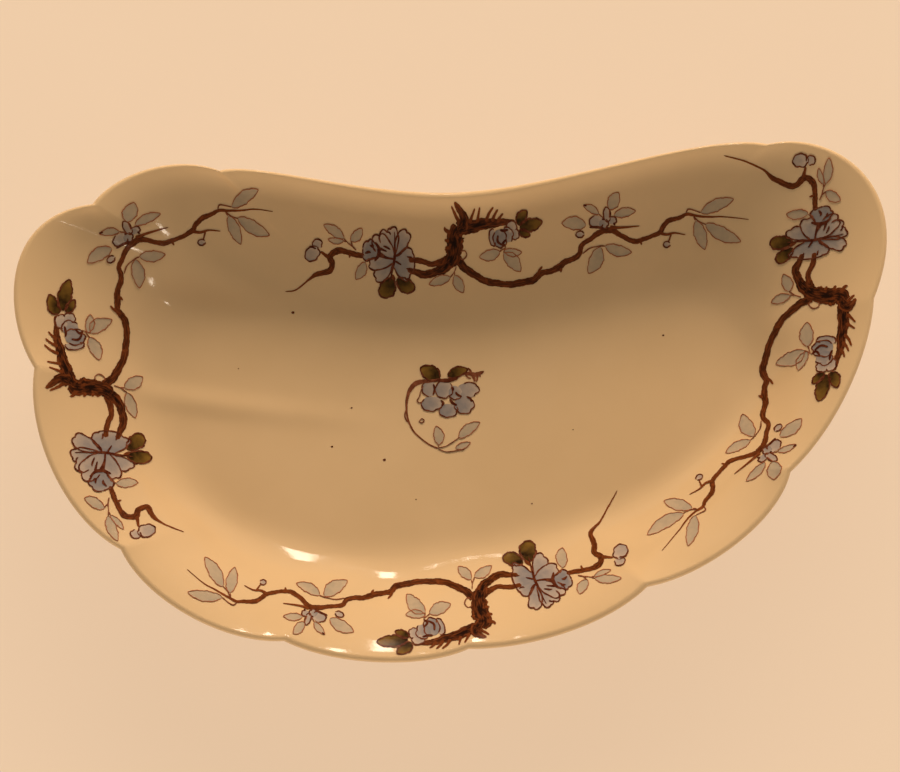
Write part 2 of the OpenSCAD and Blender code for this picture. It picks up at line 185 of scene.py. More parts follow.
@dataclass
class DishForm:
    """Form of the dish's upper surface and section, in the part's own formulas.

    A lobe of the rim is the notch where it starts and the two points that its curve leans towards. Those,
    the floor's outline and the crease are on a drawing sheet, which is stretched to the length and width.
    """

    length: float
    width: float
    height: float
    floor_thickness: float = 3.0
    lip_thickness: float = 1.6
    rim_slope: float = 32.0
    flute_start: float = 0.4
    foot_height: float = 2.6
    lobe_steps: int = 40
    floor_steps: int = 24
    rim_lobes: tuple[Stroke, ...] = (
        ((-61, 42.2), (-56.5, 47.7), (-45, 50.2)),
        ((-37.5, 46.1), (-30, 47.3), (-9, 37.2)),
        ((8.5, 37.3), (26, 37), (52, 44)),
        ((62.5, 40.5), (74.5, 42.3), (89.2, 30.2)),
        ((78.1, 9.5), (76.3, -0.8), (68.1, -14.2)),
        ((59.2, -20.8), (56.2, -29.6), (41.6, -38.2)),
        ((31.3, -38.9), (23.5, -45.2), (9, -48)),
        ((-1.5, -46.7), (-10.5, -49.7), (-26, -47)),
        ((-34, -41.8), (-44.5, -41.4), (-58, -32)),
        ((-61.4, -22.2), (-70.8, -16), (-76.8, 1)),
        ((-74, 12.7), (-79, 22.5), (-78.3, 42)),
    )
    floor_points: Stroke = (
        (-42, 20.5), (-26, 19), (-8, 16), (8, 14.5), (26, 15.5), (42, 16), (52, 11), (55.5, 1), (50.5, -9.5),
        (37, -19), (18, -25), (-2, -27), (-22, -25.5), (-40, -18.5), (-49.5, -7.5), (-52.5, 4), (-50, 14),
    )
    crease_line: Stroke = ((-60, 10.2), (-53, 7.6), (-45, 5.4), (-31, 2.2), (-20, -0.2), (-9, -2.5))
    crease_heights: Mark = (0.0, 0.34, 0.4, 0.26, 0.12, 0.0)
    crease_width: float = 2.3
    rib_height: float = 0.5
    rib_width: float = 5.5
    rib_end: float = 0.8
    toe_blend: float = 5.0
    wave_height: float = 0.04
    wave_pitch: tuple[float, float] = (9.5, 7.5)
    wave_start: tuple[float, float] = (0.7, 0.4)
    slant_share: float = 0.6
    slant_lean: float = 1.7
    slant_pitch: float = 15.0
    dimple_height: float = 0.012
    dimple_pitch: tuple[float, float] = (2.1, 1.8)
    dimple_start: float = 1.3
    dimple_sway: tuple[float, float] = (0.4, 0.5)
    sway_pitch: tuple[float, float] = (3.0, 4.0)
    relief_until: float = 0.3
    relief_fade: float = 0.65
    middle: Array = field(init=False)
    stretch: Array = field(init=False)
    rim: Array = field(init=False)
    rim_table: tuple[Array, Array] = field(init=False)
    even_table: tuple[Array, Array] = field(init=False)
    floor_table: tuple[Array, Array] = field(init=False)

    def __post_init__(self) -> None:
        """Works out the outlines and their tables of radius by angle."""
        lobes = np.array(self.rim_lobes, float)
        t = (np.arange(self.lobe_steps) / self.lobe_steps)[None, :, None]
        corners = (lobes[:, 0], lobes[:, 1], lobes[:, 2], np.roll(lobes[:, 0], -1, axis=0))
        start, out, back, end = (p[:, None, :] for p in corners)
        sheet = (1 - t) ** 3 * start + 3 * (1 - t) ** 2 * t * out + 3 * (1 - t) * t**2 * back + t**3 * end
        sheet = sheet.reshape(-1, 2)
        low, high = sheet.min(axis=0), sheet.max(axis=0)
        self.middle = (low + high) / 2
        self.stretch = np.array([self.length, self.width]) / (high - low)
        self.rim = self.place(sheet)
        u = np.arange(len(self.floor_points) * self.floor_steps) / self.floor_steps
        edge = self.place(curve_through(np.array(self.floor_points, float), u, closed=True))
        self.rim_table = self.polar(self.rim)
        self.even_table = self.polar(self.evened(self.evened(self.rim)))
        self.floor_table = self.polar(edge)

    @property
    def floor_z(self) -> float:
        """Height of the flat floor."""
        return self.foot_height + self.floor_thickness

    @property
    def lip_radius(self) -> float:
        """Radius of the rounded lip."""
        return self.lip_thickness / 2

    @property
    def slope(self) -> float:
        """Slope of the wall at the rim in radians."""
        return math.radians(self.rim_slope)

    @property
    def wall_height(self) -> float:
        """Climb of the wall from the floor to the start of the lip's round."""
        return self.height - self.lip_radius * (1 - math.cos(self.slope)) - self.floor_z

    @property
    def turns(self) -> Array:
        """Angle of each rim point round the middle in radians."""
        return np.arctan2(self.rim[:, 1], self.rim[:, 0])

    def place(self, sheet: Array | tuple) -> Array:
        """Points of the drawing sheet, moved and stretched onto the dish."""
        return (np.asarray(sheet, float) - self.middle) * self.stretch

    def evened(self, outline: Array) -> Array:
        """Outline with each point replaced by the mean of its neighbours over the length of a lobe."""
        half = self.lobe_steps // 2
        return np.mean([np.roll(outline, k, axis=0) for k in range(-half, half + 1)], axis=0)

    @staticmethod
    def polar(outline: Array) -> tuple[Array, Array]:
        """Table of an outline's radius by angle.

        Args:
            outline: points in plan, one a row.

        Returns:
            Angles in degrees, in rising order, and the radius at each.
        """
        angle = np.degrees(np.arctan2(outline[:, 1], outline[:, 0])) % 360
        order = np.argsort(angle)
        return angle[order], np.hypot(outline[:, 0], outline[:, 1])[order]

    @staticmethod
    def radius(table: tuple[Array, Array], angle: Array) -> Array:
        """Radius of an outline at each angle."""
        return np.interp(angle, table[0], table[1], period=360)

    def wall(self, angle: Array) -> Wall:
        """Wall at each angle.

        Args:
            angle: angles round the middle in degrees.

        Returns:
            Radius of the floor's edge, run of the evened wall, and the bend of the scallop, which grows with
            the square of the share climbed past the start of the flutes.
        """
        setback = self.lip_radius * (1 + math.sin(self.slope))
        edge = self.radius(self.floor_table, angle)
        even = self.radius(self.even_table, angle) - setback - edge
        full = self.radius(self.rim_table, angle) - setback - edge
        return edge, even, (full - even) / (1 - self.flute_start) ** 2

    def reach(self, wall: Wall, share: Array | float) -> Array:
        """Radius at a share of the wall: edge + run * share + bend * (share past the flutes) squared."""
        return wall[0] + wall[1] * share + wall[2] * np.maximum(0, share - self.flute_start) ** 2

    def climb(self, wall: Wall, share: Array) -> Array:
        """Climb at a share of the wall: the cubic that leaves the floor level and ends at the rim's slope."""
        end = math.tan(self.slope) * wall[1] / self.wall_height
        return self.wall_height * ((3 - end) * share**2 + (end - 2) * share**3)

    def lean(self, wall: Wall, share: Array) -> Array:
        """Angle that the wall leans at: the arc tangent of the climb's rate over the reach's rate.

        Args:
            wall: the wall at each angle.
            share: shares of the wall.

        Returns:
            Angles in radians, 0 where the wall is level.
        """
        end = math.tan(self.slope) * wall[1] / self.wall_height
        rate = self.wall_height * (2 * (3 - end) * share + 3 * (end - 2) * share**2)
        return np.arctan2(rate, wall[1] + 2 * wall[2] * np.maximum(0, share - self.flute_start))

    def share(self, wall: Wall, radius: Array) -> Array:
        """Share of the wall at a radius: the reach's formula solved for the share.

        Args:
            wall: the wall at each place's angle.
            radius: each place's distance from the middle.

        Returns:
            Shares from 0, on the floor, to 1.
        """
        edge, run, bend = wall
        out = np.maximum(0, radius - edge)
        past = np.maximum(0, out - run * self.flute_start)
        root = np.sqrt(np.maximum(0, run**2 + 4 * bend * past))
        return np.clip(np.where(past <= 0, out / run, self.flute_start + 2 * past / (run + root)), 0, 1)

    def crease(self, x: Array, y: Array) -> Array:
        """Soft crease on the floor: a height that runs along a line, times the bell curve of the distance.

        Args:
            x: places in plan.
            y: places in plan.

        Returns:
            Height of the crease.
        """
        line = self.place(self.crease_line)
        heights = np.array(self.crease_heights)
        step = np.diff(line, axis=0)
        away = np.stack([x, y], axis=-1)[..., None, :] - line[:-1]
        t = np.clip((away * step).sum(-1) / (step**2).sum(-1), 0, 1)
        distance = np.linalg.norm(away - t[..., None] * step, axis=-1)
        near = distance.argmin(axis=-1)[..., None]
        top = np.take_along_axis(heights[:-1] + t * np.diff(heights), near, -1)[..., 0]
        return top * np.exp(-((np.take_along_axis(distance, near, -1)[..., 0] / self.crease_width) ** 2))

    def ribs(self, x: Array, y: Array, share: Array) -> Array:
        """Soft ribs below the notches.

        Each is the bell curve of the distance from its notch's ray, times the squared sine of half a turn up
        the lower part of the wall.

        Args:
            x: places in plan.
            y: places in plan.
            share: share of the wall at each place.

        Returns:
            Height of the ribs.
        """
        notches = self.rim[:: self.lobe_steps]
        ray = notches / np.linalg.norm(notches, axis=-1, keepdims=True)
        aside = x[..., None] * ray[:, 1] - y[..., None] * ray[:, 0]
        ahead = x[..., None] * ray[:, 0] + y[..., None] * ray[:, 1] > 0
        bell = (np.exp(-((aside / self.rib_width) ** 2)) * ahead).sum(-1)
        return self.rib_height * bell * np.sin(np.pi * np.clip(share / self.rib_end, 0, 1)) ** 2

    def toe(self, wall: Wall, radius: Array) -> Array:
        """Soft toe of the wall: what the mean over the blend's length adds to a square from the edge on.

        Args:
            wall: the wall at each place's angle.
            radius: each place's distance from the middle.

        Returns:
            Height of the blend.
        """
        blend, past = self.toe_blend, radius - wall[0]
        bend = (3 * self.wall_height - math.tan(self.slope) * wall[1]) / wall[1] ** 2
        near = np.clip(past, -blend, blend)
        return bend * ((near + blend) ** 3 / (6 * blend) - np.maximum(0, near) ** 2)

    def waves(self, x: Array, y: Array) -> Array:
        """Low waves: a sine of x times a sine of y, plus a share of a sine that runs aslant.

        Args:
            x: places in plan.
            y: places in plan.

        Returns:
            Height of the waves.
        """
        across = np.sin(x / self.wave_pitch[0] + self.wave_start[0])
        along = np.sin(y / self.wave_pitch[1] + self.wave_start[1])
        slant = np.sin((x + self.slant_lean * y) / self.slant_pitch)
        return self.wave_height * (across * along + self.slant_share * slant)

    def dimples(self, x: Array, y: Array) -> Array:
        """Fine dimples of the glaze: a sine of x times a sine of y, each swayed by the other.

        Args:
            x: places in plan.
            y: places in plan.

        Returns:
            Height of the dimples.
        """
        sway_x = self.dimple_sway[0] * np.sin(y / self.sway_pitch[0])
        sway_y = self.dimple_sway[1] * np.sin(x / self.sway_pitch[1])
        across = np.sin(x / self.dimple_pitch[0] + self.dimple_start + sway_x)
        return self.dimple_height * (across * np.sin(y / self.dimple_pitch[1] + sway_y))

    def relief(self, wall: Wall, x: Array, y: Array) -> Array:
        """Unevenness of the moulded surface: toe, crease, ribs, waves and dimples, all gone before the lip.

        Args:
            wall: the wall at each place's angle.
            x: places in plan.
            y: places in plan.

        Returns:
            Height over the plain form.
        """
        radius = np.hypot(x, y)
        share = self.share(wall, radius)
        low = self.crease(x, y) + self.ribs(x, y, share) + self.toe(wall, radius)
        low += self.waves(x, y) + self.dimples(x, y)
        gone = np.clip((share - self.relief_until) / self.relief_fade, 0, 1)
        return low * (0.5 + 0.5 * np.cos(np.pi * gone))

    def surface(self, x: Array, y: Array) -> Array:
        """Height of the glazed upper surface: floor, climb of the wall and relief.

        Args:
            x: places in plan.
            y: places in plan.

        Returns:
            Height at each place.
        """
        wall = self.wall(np.degrees(np.arctan2(y, x)))
        share = self.share(wall, np.hypot(x, y))
        return self.floor_z + self.climb(wall, share) + self.relief(wall, x, y)


@dataclass(frozen=True)
class Finish:
    """Finish of one colour that runs into a second one.

    The share of the second colour is a noise in the finish's pattern. Where the weight of the wash isn't 0,
    the attribute "wash" of the piece is mixed into that share.
    """

    name: str
    first: Colour
    second: Colour
    roughness: float
    pattern: Pattern = Pattern.CLOUDS
    noise_scale: tuple[float, float, float] = (900.0, 900.0, 900.0)
    noise_low: float = 0.35
    noise_high: float = 0.65
    wash_weight: float = 0.0
    bump: float = 0.0
    bump_scale: float = 300.0
    ior: float = 1.5

    def material(self) -> bpy.types.Material:
        """The finish as a material.

        Returns:
            The material, made at the first call and found again at later ones.
        """
        made = bpy.data.materials.get(self.name)
        if made is not None:
            return made
        made = bpy.data.materials.new(self.name)
        made.use_nodes = True
        nodes, links = made.node_tree.nodes, made.node_tree.links
        shader = nodes["Principled BSDF"]
        shader.inputs["Roughness"].default_value = self.roughness
        shader.inputs["IOR"].default_value = self.ior
        coords = nodes.new("ShaderNodeTexCoord")
        spread = nodes.new("ShaderNodeMapping")
        spread.inputs["Scale"].default_value = self.noise_scale
        links.new(coords.outputs[self.pattern.value], spread.inputs["Vector"])
        noise = nodes.new("ShaderNodeTexNoise")
        noise.inputs["Scale"].default_value = 1.0
        noise.inputs["Detail"].default_value = NOISE_DETAIL
        links.new(spread.outputs["Vector"], noise.inputs["Vector"])
        ramp = nodes.new("ShaderNodeMapRange")
        ramp.inputs["From Min"].default_value = self.noise_low
        ramp.inputs["From Max"].default_value = self.noise_high
        links.new(noise.outputs["Fac"], ramp.inputs["Value"])
        share = ramp.outputs["Result"]
        if self.wash_weight > 0:
            wash = nodes.new("ShaderNodeAttribute")
            wash.attribute_name = "wash"
            weigh = nodes.new("ShaderNodeMix")
            weigh.inputs["Factor"].default_value = self.wash_weight
            links.new(share, weigh.inputs["A"])
            links.new(wash.outputs["Fac"], weigh.inputs["B"])
            share = weigh.outputs["Result"]
        mix = nodes.new("ShaderNodeMix")
        mix.data_type = "RGBA"
        first, second = (s for s in mix.inputs if s.type == "RGBA")
        first.default_value = (*self.first, 1.0)
        second.default_value = (*self.second, 1.0)
        links.new(share, mix.inputs["Factor"])
        links.new(next(s for s in mix.outputs if s.type == "RGBA"), shader.inputs["Base Color"])
        if self.bump > 0:
            self.add_bump(made.node_tree, coords, shader)
        return made

    def add_bump(self, tree: bpy.types.NodeTree, coords: bpy.types.Node, shader: bpy.types.Node) -> None:
        """Adds a fine unevenness to the finish.

        Args:
            tree: the material's nodes and links.
            coords: the node that gives Object coordinates.
            shader: the shader whose normal is bumped.
        """
        grain = tree.nodes.new("ShaderNodeTexNoise")
        grain.inputs["Scale"].default_value = self.bump_scale
        bump = tree.nodes.new("ShaderNodeBump")
        bump.inputs["Strength"].default_value = self.bump
        bump.inputs["Distance"].default_value = MM * BUMP_DEPTH
        tree.links.new(coords.outputs["Object"], grain.inputs["Vector"])
        tree.links.new(grain.outputs["Fac"], bump.inputs["Height"])
        tree.links.new(bump.outputs["Normal"], shader.inputs["Normal"])


GLAZE = Finish(
    "ivory_glaze", (0.82, 0.55, 0.295), (0.79, 0.525, 0.275), 0.07, noise_scale=(45.0, 45.0, 45.0), bump=0.05,
    ior=1.6,
)
BISCUIT = Finish(
    "bare_biscuit", (0.72, 0.58, 0.42), (0.56, 0.43, 0.29), 0.75, noise_scale=(700.0, 700.0, 700.0), bump=0.5,
    bump_scale=2500.0,
)
BRANCH = Finish(
    "branch_brown", (0.014, 0.0035, 0.001), (0.31, 0.072, 0.016), 0.15, Pattern.STREAKS, (0.7, 7.0, 1.0),
    noise_low=0.46, noise_high=0.66, wash_weight=0.52, ior=1.2,
)
LEAF = Finish("leaf_grey", (0.62, 0.44, 0.275), (0.42, 0.325, 0.225), 0.09, wash_weight=0.7, ior=1.4)
DARK_LEAF = Finish(
    "olive_brown", (0.33, 0.165, 0.028), (0.018, 0.0065, 0.001), 0.12, wash_weight=0.8, ior=1.2
)
BLOSSOM = Finish("blossom_blue", (0.60, 0.43, 0.31), (0.235, 0.205, 0.2), 0.09, wash_weight=0.85, ior=1.4)
OUTLINE = Finish(
    "outline_brown", (0.065, 0.008, 0.0015), (0.42, 0.135, 0.06), 0.15, wash_weight=0.85, ior=1.2
)
PALE_FLOOR = Finish("pale_floor", (0.88, 0.72, 0.55), (0.86, 0.70, 0.53), 0.9, noise_scale=(30.0, 30.0, 30.0))


def make_object(name: str, vertices: Array, faces: list[list[int]], finish: Finish) -> bpy.types.Object:
    """Mesh object in metres at the origin, shaded smooth, with its finish.

    Args:
        name: the object's name.
        vertices: points in millimetres, one a row.
        faces: corner numbers of each face, turning left as seen from outside.
        finish: the finish that it wears.

    Returns:
        The object, linked to the scene.
    """
    mesh = bpy.data.meshes.new(name)
    mesh.from_pydata(vertices * MM, [], faces)
    mesh.polygons.foreach_set("use_smooth", np.ones(len(mesh.polygons), dtype=bool))
    mesh.materials.append(finish.material())
    mesh.update()
    made = bpy.data.objects.new(name, mesh)
    bpy.context.collection.objects.link(made)
    return made


def register(piece: bpy.types.Object, slot: Slot, *nodes: str) -> None:
    """Ties a piece to the dish, hides the CAD nodes that it stands for, and reports it.

    Args:
        piece: the object.
        slot: its finish slot. Not used.
        *nodes: names of the CAD nodes, or none.
    """
    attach(piece, BODY)
    if nodes:
        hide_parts(*nodes)
    LOG.info("%s: %d faces, for %s", piece.name, len(piece.data.polygons), ", ".join(nodes) or "no node")


def ring_faces(rows: int, columns: int) -> NDArray[np.int64]:
    """Quads between rows of a grid whose columns run round and close.

    Args:
        rows: count of rows.
        columns: count of columns.

    Returns:
        Four corner numbers for each quad.
    """
    k, j = np.meshgrid(np.arange(rows - 1), np.arange(columns), indexing="ij")
    a, d = k * columns + j, k * columns + (j + 1) % columns
    return np.stack([a, a + columns, d + columns, d], axis=-1).reshape(-1, 4)


@dataclass
class GlazedBody:
    """Floor, wall, lip and underside of the dish as one closed shell."""

    form: DishForm
    floor_rows: int = 44
    wall_rows: int = 64
    lip_rows: int = 16
    under_rows: int = 38
    bottom_rows: int = 14

    def rows(self, angle: Array) -> tuple[Array, Array]:
        """Radius and height of every row, from the middle of the floor round to the middle underneath.

        The floor is a share of its edge's radius, the wall follows reach and climb, the lip is a half circle
        from the wall's slope, and the underside stands off the wall at a right angle by the thickness.

        Args:
            angle: angle of each column in degrees.

        Returns:
            Two arrays, a row for each ring and a column for each angle.
        """
        form = self.form
        wall = form.wall(angle)
        top = form.floor_z + form.wall_height
        floor_r = np.arange(1, self.floor_rows)[:, None] / self.floor_rows * wall[0]
        up = np.linspace(0, 1, self.wall_rows)[:, None]
        wall_r, wall_z = form.reach(wall, up), form.floor_z + form.climb(wall, up)
        round_angle = np.pi / 2 + form.slope - np.pi * np.arange(1, self.lip_rows)[:, None] / self.lip_rows
        lip_r = form.reach(wall, 1.0) + form.lip_radius * (math.sin(form.slope) + np.cos(round_angle))
        lip_z = top + form.lip_radius * (np.sin(round_angle) - math.cos(form.slope)) + 0 * wall[0]
        down = np.linspace(1, 0, self.under_rows)[:, None]
        lean = form.lean(wall, down)
        thick = form.floor_thickness + (form.lip_thickness - form.floor_thickness) * down
        under_r = form.reach(wall, down) + thick * np.sin(lean)
        under_z = form.floor_z + form.climb(wall, down) - thick * np.cos(lean)
        inward = (1 - np.arange(1, self.bottom_rows)[:, None] / self.bottom_rows) * wall[0]
        radius = np.vstack([floor_r, wall_r, lip_r, under_r, inward])
        level = (np.full_like(floor_r, form.floor_z), np.full_like(inward, form.foot_height))
        return radius, np.vstack([level[0], wall_z, lip_z, under_z, level[1]])

    def build(self) -> bpy.types.Object:
        """Makes the shell, with the relief on its upper side and a fan over each middle.

        Returns:
            The shell.
        """
        form = self.form
        angle = np.degrees(form.turns)
        radius, height = self.rows(angle)
        x, y = radius * np.cos(form.turns), radius * np.sin(form.turns)
        upper = self.floor_rows - 1 + self.wall_rows
        height[:upper] += form.relief(form.wall(angle), x[:upper], y[:upper])
        count, columns = radius.shape
        middle = float(form.surface(np.zeros(1), np.zeros(1))[0])
        points = np.stack([x, y, height], axis=-1).reshape(-1, 3)
        points = np.vstack([points, [[0, 0, middle], [0, 0, form.foot_height]]])
        j = np.arange(columns)
        ahead = (j + 1) % columns
        last = (count - 1) * columns
        top_fan = np.stack([np.full(columns, count * columns), ahead, j], axis=-1)
        low_fan = np.stack([np.full(columns, count * columns + 1), last + j, last + ahead], axis=-1)
        quads = ring_faces(count, columns)[:, ::-1]
        return make_object("dish_shell", points, quads.tolist() + top_fan.tolist() + low_fan.tolist(), GLAZE)


@dataclass
class FootRing:
    """Bare ring under the floor with worn edges."""

    form: DishForm
    width: float = 3.0
    inset: float = 1.5
    edge_round: float = 0.55
    round_steps: int = 6

    def build(self) -> bpy.types.Object:
        """Makes the ring: a rectangle with two rounded lower corners, carried round inside the floor's edge.

        Returns:
            The ring.
        """
        form, r = self.form, self.edge_round
        edge = form.radius(form.floor_table, np.degrees(form.turns)) - self.inset
        bow = np.linspace(0, np.pi / 2, self.round_steps)
        outer = np.stack([-r + r * np.cos(bow), r - r * np.sin(bow)], axis=-1)
        inner = np.stack([-self.width + r - r * np.sin(bow), r - r * np.cos(bow)], axis=-1)
        roof = np.array([[-self.width, form.foot_height], [0.0, form.foot_height]])
        profile = np.vstack([outer, inner, roof, outer[:1]])
        radius = edge + profile[:, :1]
        z = np.broadcast_to(profile[:, 1:], radius.shape)
        points = np.stack([radius * np.cos(form.turns), radius * np.sin(form.turns), z], axis=-1)
        points = points[:-1].reshape(-1, 3)
        faces = ring_faces(len(profile), len(form.turns)) % len(points)
        made = make_object("foot_band", points, faces[:, ::-1].tolist(), BISCUIT)
        made.data.set_sharp_from_angle(angle=SHARP_ANGLE)
        return made


@dataclass(frozen=True)
class Patch:
    """Piece of a printed film in plan: points, faces, edge loop, and the two values that finishes read."""

    points: Array
    faces: list[list[int]]
    edge: NDArray[np.int64]
    uv: Array
    wash: Array


def strip(rows: Array, wash: Array, span: float) -> Patch:
    """Patch over a grid of plan points.

    Args:
        rows: points with a row for each step along it, from its left to its right side.
        wash: share of the second colour at each point.
        span: length along it, for the map.

    Returns:
        The patch, with v from 0 to 1 across it.
    """
    count, across = rows.shape[:2]
    i, k = np.meshgrid(np.arange(count - 1), np.arange(across - 1), indexing="ij")
    a = (i * across + k).ravel()
    quads = np.stack([a, a + 1, a + across + 1, a + across], axis=-1)
    number = np.arange(count * across).reshape(count, across)
    edge = np.concatenate([number[0, :-1], number[:-1, -1], number[-1, :0:-1], number[:0:-1, 0]])
    u, v = np.meshgrid(np.linspace(0, span, count), np.linspace(0, 1, across), indexing="ij")
    return Patch(rows.reshape(-1, 2), quads.tolist(), edge, np.stack([u, v], -1).reshape(-1, 2), wash.ravel())


def disc(centre: Array, rim: Array, wash: Array) -> Patch:
    """Patch from a centre out to a closed rim, in rings that are equal shares of the way.

    Args:
        centre: the point inside.
        rim: points of the rim, turning left.
        wash: share of the second colour, a row for each ring and a column for each rim point.

    Returns:
        The patch.
    """
    rings, count = wash.shape
    share = np.arange(1, rings + 1)[:, None, None] / rings
    points = np.vstack([centre[None], (centre + share * (rim - centre)).reshape(-1, 2)])
    j = np.arange(count)
    fan = np.stack([np.zeros(count, int), 1 + j, 1 + (j + 1) % count], axis=-1)
    quads = ring_faces(rings, count) + 1
    edge = 1 + (rings - 1) * count + j
    whole = np.concatenate([[wash[0].mean()], wash.ravel()])
    return Patch(points, fan.tolist() + quads.tolist(), edge, points - centre, whole)


@dataclass
class Film:
    """Printed colour: patches that lie on the glaze, each as a closed slab a few hundredths thick."""

    form: DishForm
    name: str
    finish: Finish
    lift: float
    layer: float = 0.0
    sink: float = 0.04
    patches: list[tuple[Patch, float]] = field(default_factory=list)

    def add(self, patch: Patch) -> None:
        """Lays one more patch, a layer above the last."""
        self.patches.append((patch, self.lift + self.layer * len(self.patches)))

    def build(self) -> bpy.types.Object:
        """Makes all the slabs as one object, their tops over the glaze by the lift, their bottoms sunk in it.

        Returns:
            The object, with its map and its wash.
        """
        points, faces, uv, wash, start = [], [], [], [], 0
        for patch, lift in self.patches:
            count = len(patch.points)
            x, y = patch.points.T
            z = self.form.surface(x, y)
            points += [np.column_stack([x, y, z + lift]), np.column_stack([x, y, z - self.sink])]
            uv += [patch.uv, patch.uv]
            wash += [patch.wash, patch.wash]
            p, q = patch.edge, np.roll(patch.edge, -1)
            sides = np.stack([p, p + count, q + count, q], axis=-1)
            faces += [[c + start for c in face] for face in patch.faces]
            faces += [[c + start + count for c in reversed(face)] for face in patch.faces]
            faces += (sides + start).tolist()
            start += 2 * count
        made = make_object(self.name, np.vstack(points), faces, self.finish)
        mesh = made.data
        mesh.set_sharp_from_angle(angle=SHARP_ANGLE)
        mesh.attributes.new("wash", "FLOAT", "POINT").data.foreach_set("value", np.concatenate(wash))
        corner = np.empty(len(mesh.loops), dtype=np.int32)
        mesh.loops.foreach_get("vertex_index", corner)
        mesh.uv_layers.new(name="film").uv.foreach_set("vector", np.vstack(uv)[corner].ravel())
        return made


@dataclass(frozen=True)
class SprayPlace:
    """Where and how a spray lies: its line and tail on the sheet, its stump's reach, spread and frill."""

    name: str
    line: Stroke
    tail: Stroke
    stump: float
    spread: float
    frill: float
    start: float = -30.0
    step: float = 15.0
    spread_until: float = 12.0
    spread_end: float = 26.0
    spread_limit: float = 1.0
    nudge: float = 0.01

    def lay(self, form: DishForm, drawn: Array) -> Array:
        """Drawn points laid along the spray's line.

        The place along the line is the smooth curve through its points, and the distance from it, towards the
        rim, is the drawn one plus the spread's share of it, which is limited and fades out along the line.

        Args:
            form: the dish that it lies on.
            drawn: points of the drawing, x along the line and y towards the rim.

        Returns:
            Points in plan.
        """
        line = form.place(self.line)
        u = (drawn[:, 0] - self.start) / self.step
        ahead = curve_through(line, u + self.nudge) - curve_through(line, u - self.nudge)
        along = ahead / np.linalg.norm(ahead, axis=-1, keepdims=True)
        fade = np.clip((self.spread_end - drawn[:, 0]) / (self.spread_end - self.spread_until), 0, 1)
        more = np.clip((self.spread - 1) * fade * drawn[:, 1], -self.spread_limit, self.spread_limit)
        return curve_through(line, u) + (drawn[:, 1] + more)[:, None] * quarter_left(along)


@dataclass(frozen=True)
class SheetPlace:
    """A drawing that lies straight on the sheet."""

    def lay(self, form: DishForm, drawn: Array) -> Array:
        """Drawn points put on the dish as they are."""
        return form.place(drawn)


@dataclass(frozen=True)
class StrokeLook:
    """How a stroke is drawn.

    The rough is the depth of its ragged edge as a share of its width, and across is the count of points
    across it. The tone is its share of the second colour, or None for more of that towards the sides and
    where the stroke is thin.
    """

    rough: float
    across: int = 3
    tone: float | None = None


@dataclass(frozen=True)
class LineLook:
    """How a thin line is drawn: its mean width and its share of the second colour."""

    width: float
    tone: float


@dataclass(frozen=True)
class LeafLook:
    """How a leaf is drawn.

    The fullness is the power of the sine that its width follows, smaller for a fuller leaf, and the wave is
    the depth of its edge's ripple. With a lean below 1 it is widest before its middle. The fall is how far
    the share of the second colour falls from its foot to its tip.
    """

    outline: LineLook
    fullness: float
    wave: float
    lean: float = 0.9
    fall: float = 0.75


@dataclass(frozen=True)
class PetalLook:
    """How a petal is drawn: its outline, if any, and how much broader its tip is, as a share."""

    outline: LineLook | None
    taper: float = 0.0


BRANCH_STROKE = StrokeLook(0.22, 7)
TWIG_STROKE = StrokeLook(0.2, 5)
THORN_STROKE = StrokeLook(0.15)
DARK_STROKE = StrokeLook(0.15, tone=0.0)
SPRIG_STROKE = StrokeLook(0.18, tone=0.4)
STEM_LINE = LineLook(0.2, 0.5)
SPRIG_LINE = LineLook(0.18, 0.4)
PALE_LEAF = LeafLook(LineLook(0.14, 0.95), fullness=0.68, wave=0.11)
SEPAL = LeafLook(LineLook(0.28, 0.15), fullness=0.5, wave=0.12, lean=1.15, fall=1.1)
OLIVE_LEAF = LeafLook(LineLook(0.25, 0.15), fullness=0.6, wave=0.14, fall=1.1)
SPRIG_LEAF = LeafLook(LineLook(0.14, 0.9), fullness=0.68, wave=0.11)
SPRIG_OLIVE_LEAF = LeafLook(LineLook(0.3, 0.1), fullness=0.6, wave=0.1, fall=1.1)
BROAD_PETAL = PetalLook(LineLook(0.27, 0.15), taper=0.4)
SMALL_PETAL = PetalLook(LineLook(0.24, 0.2))
SPECK = PetalLook(None)


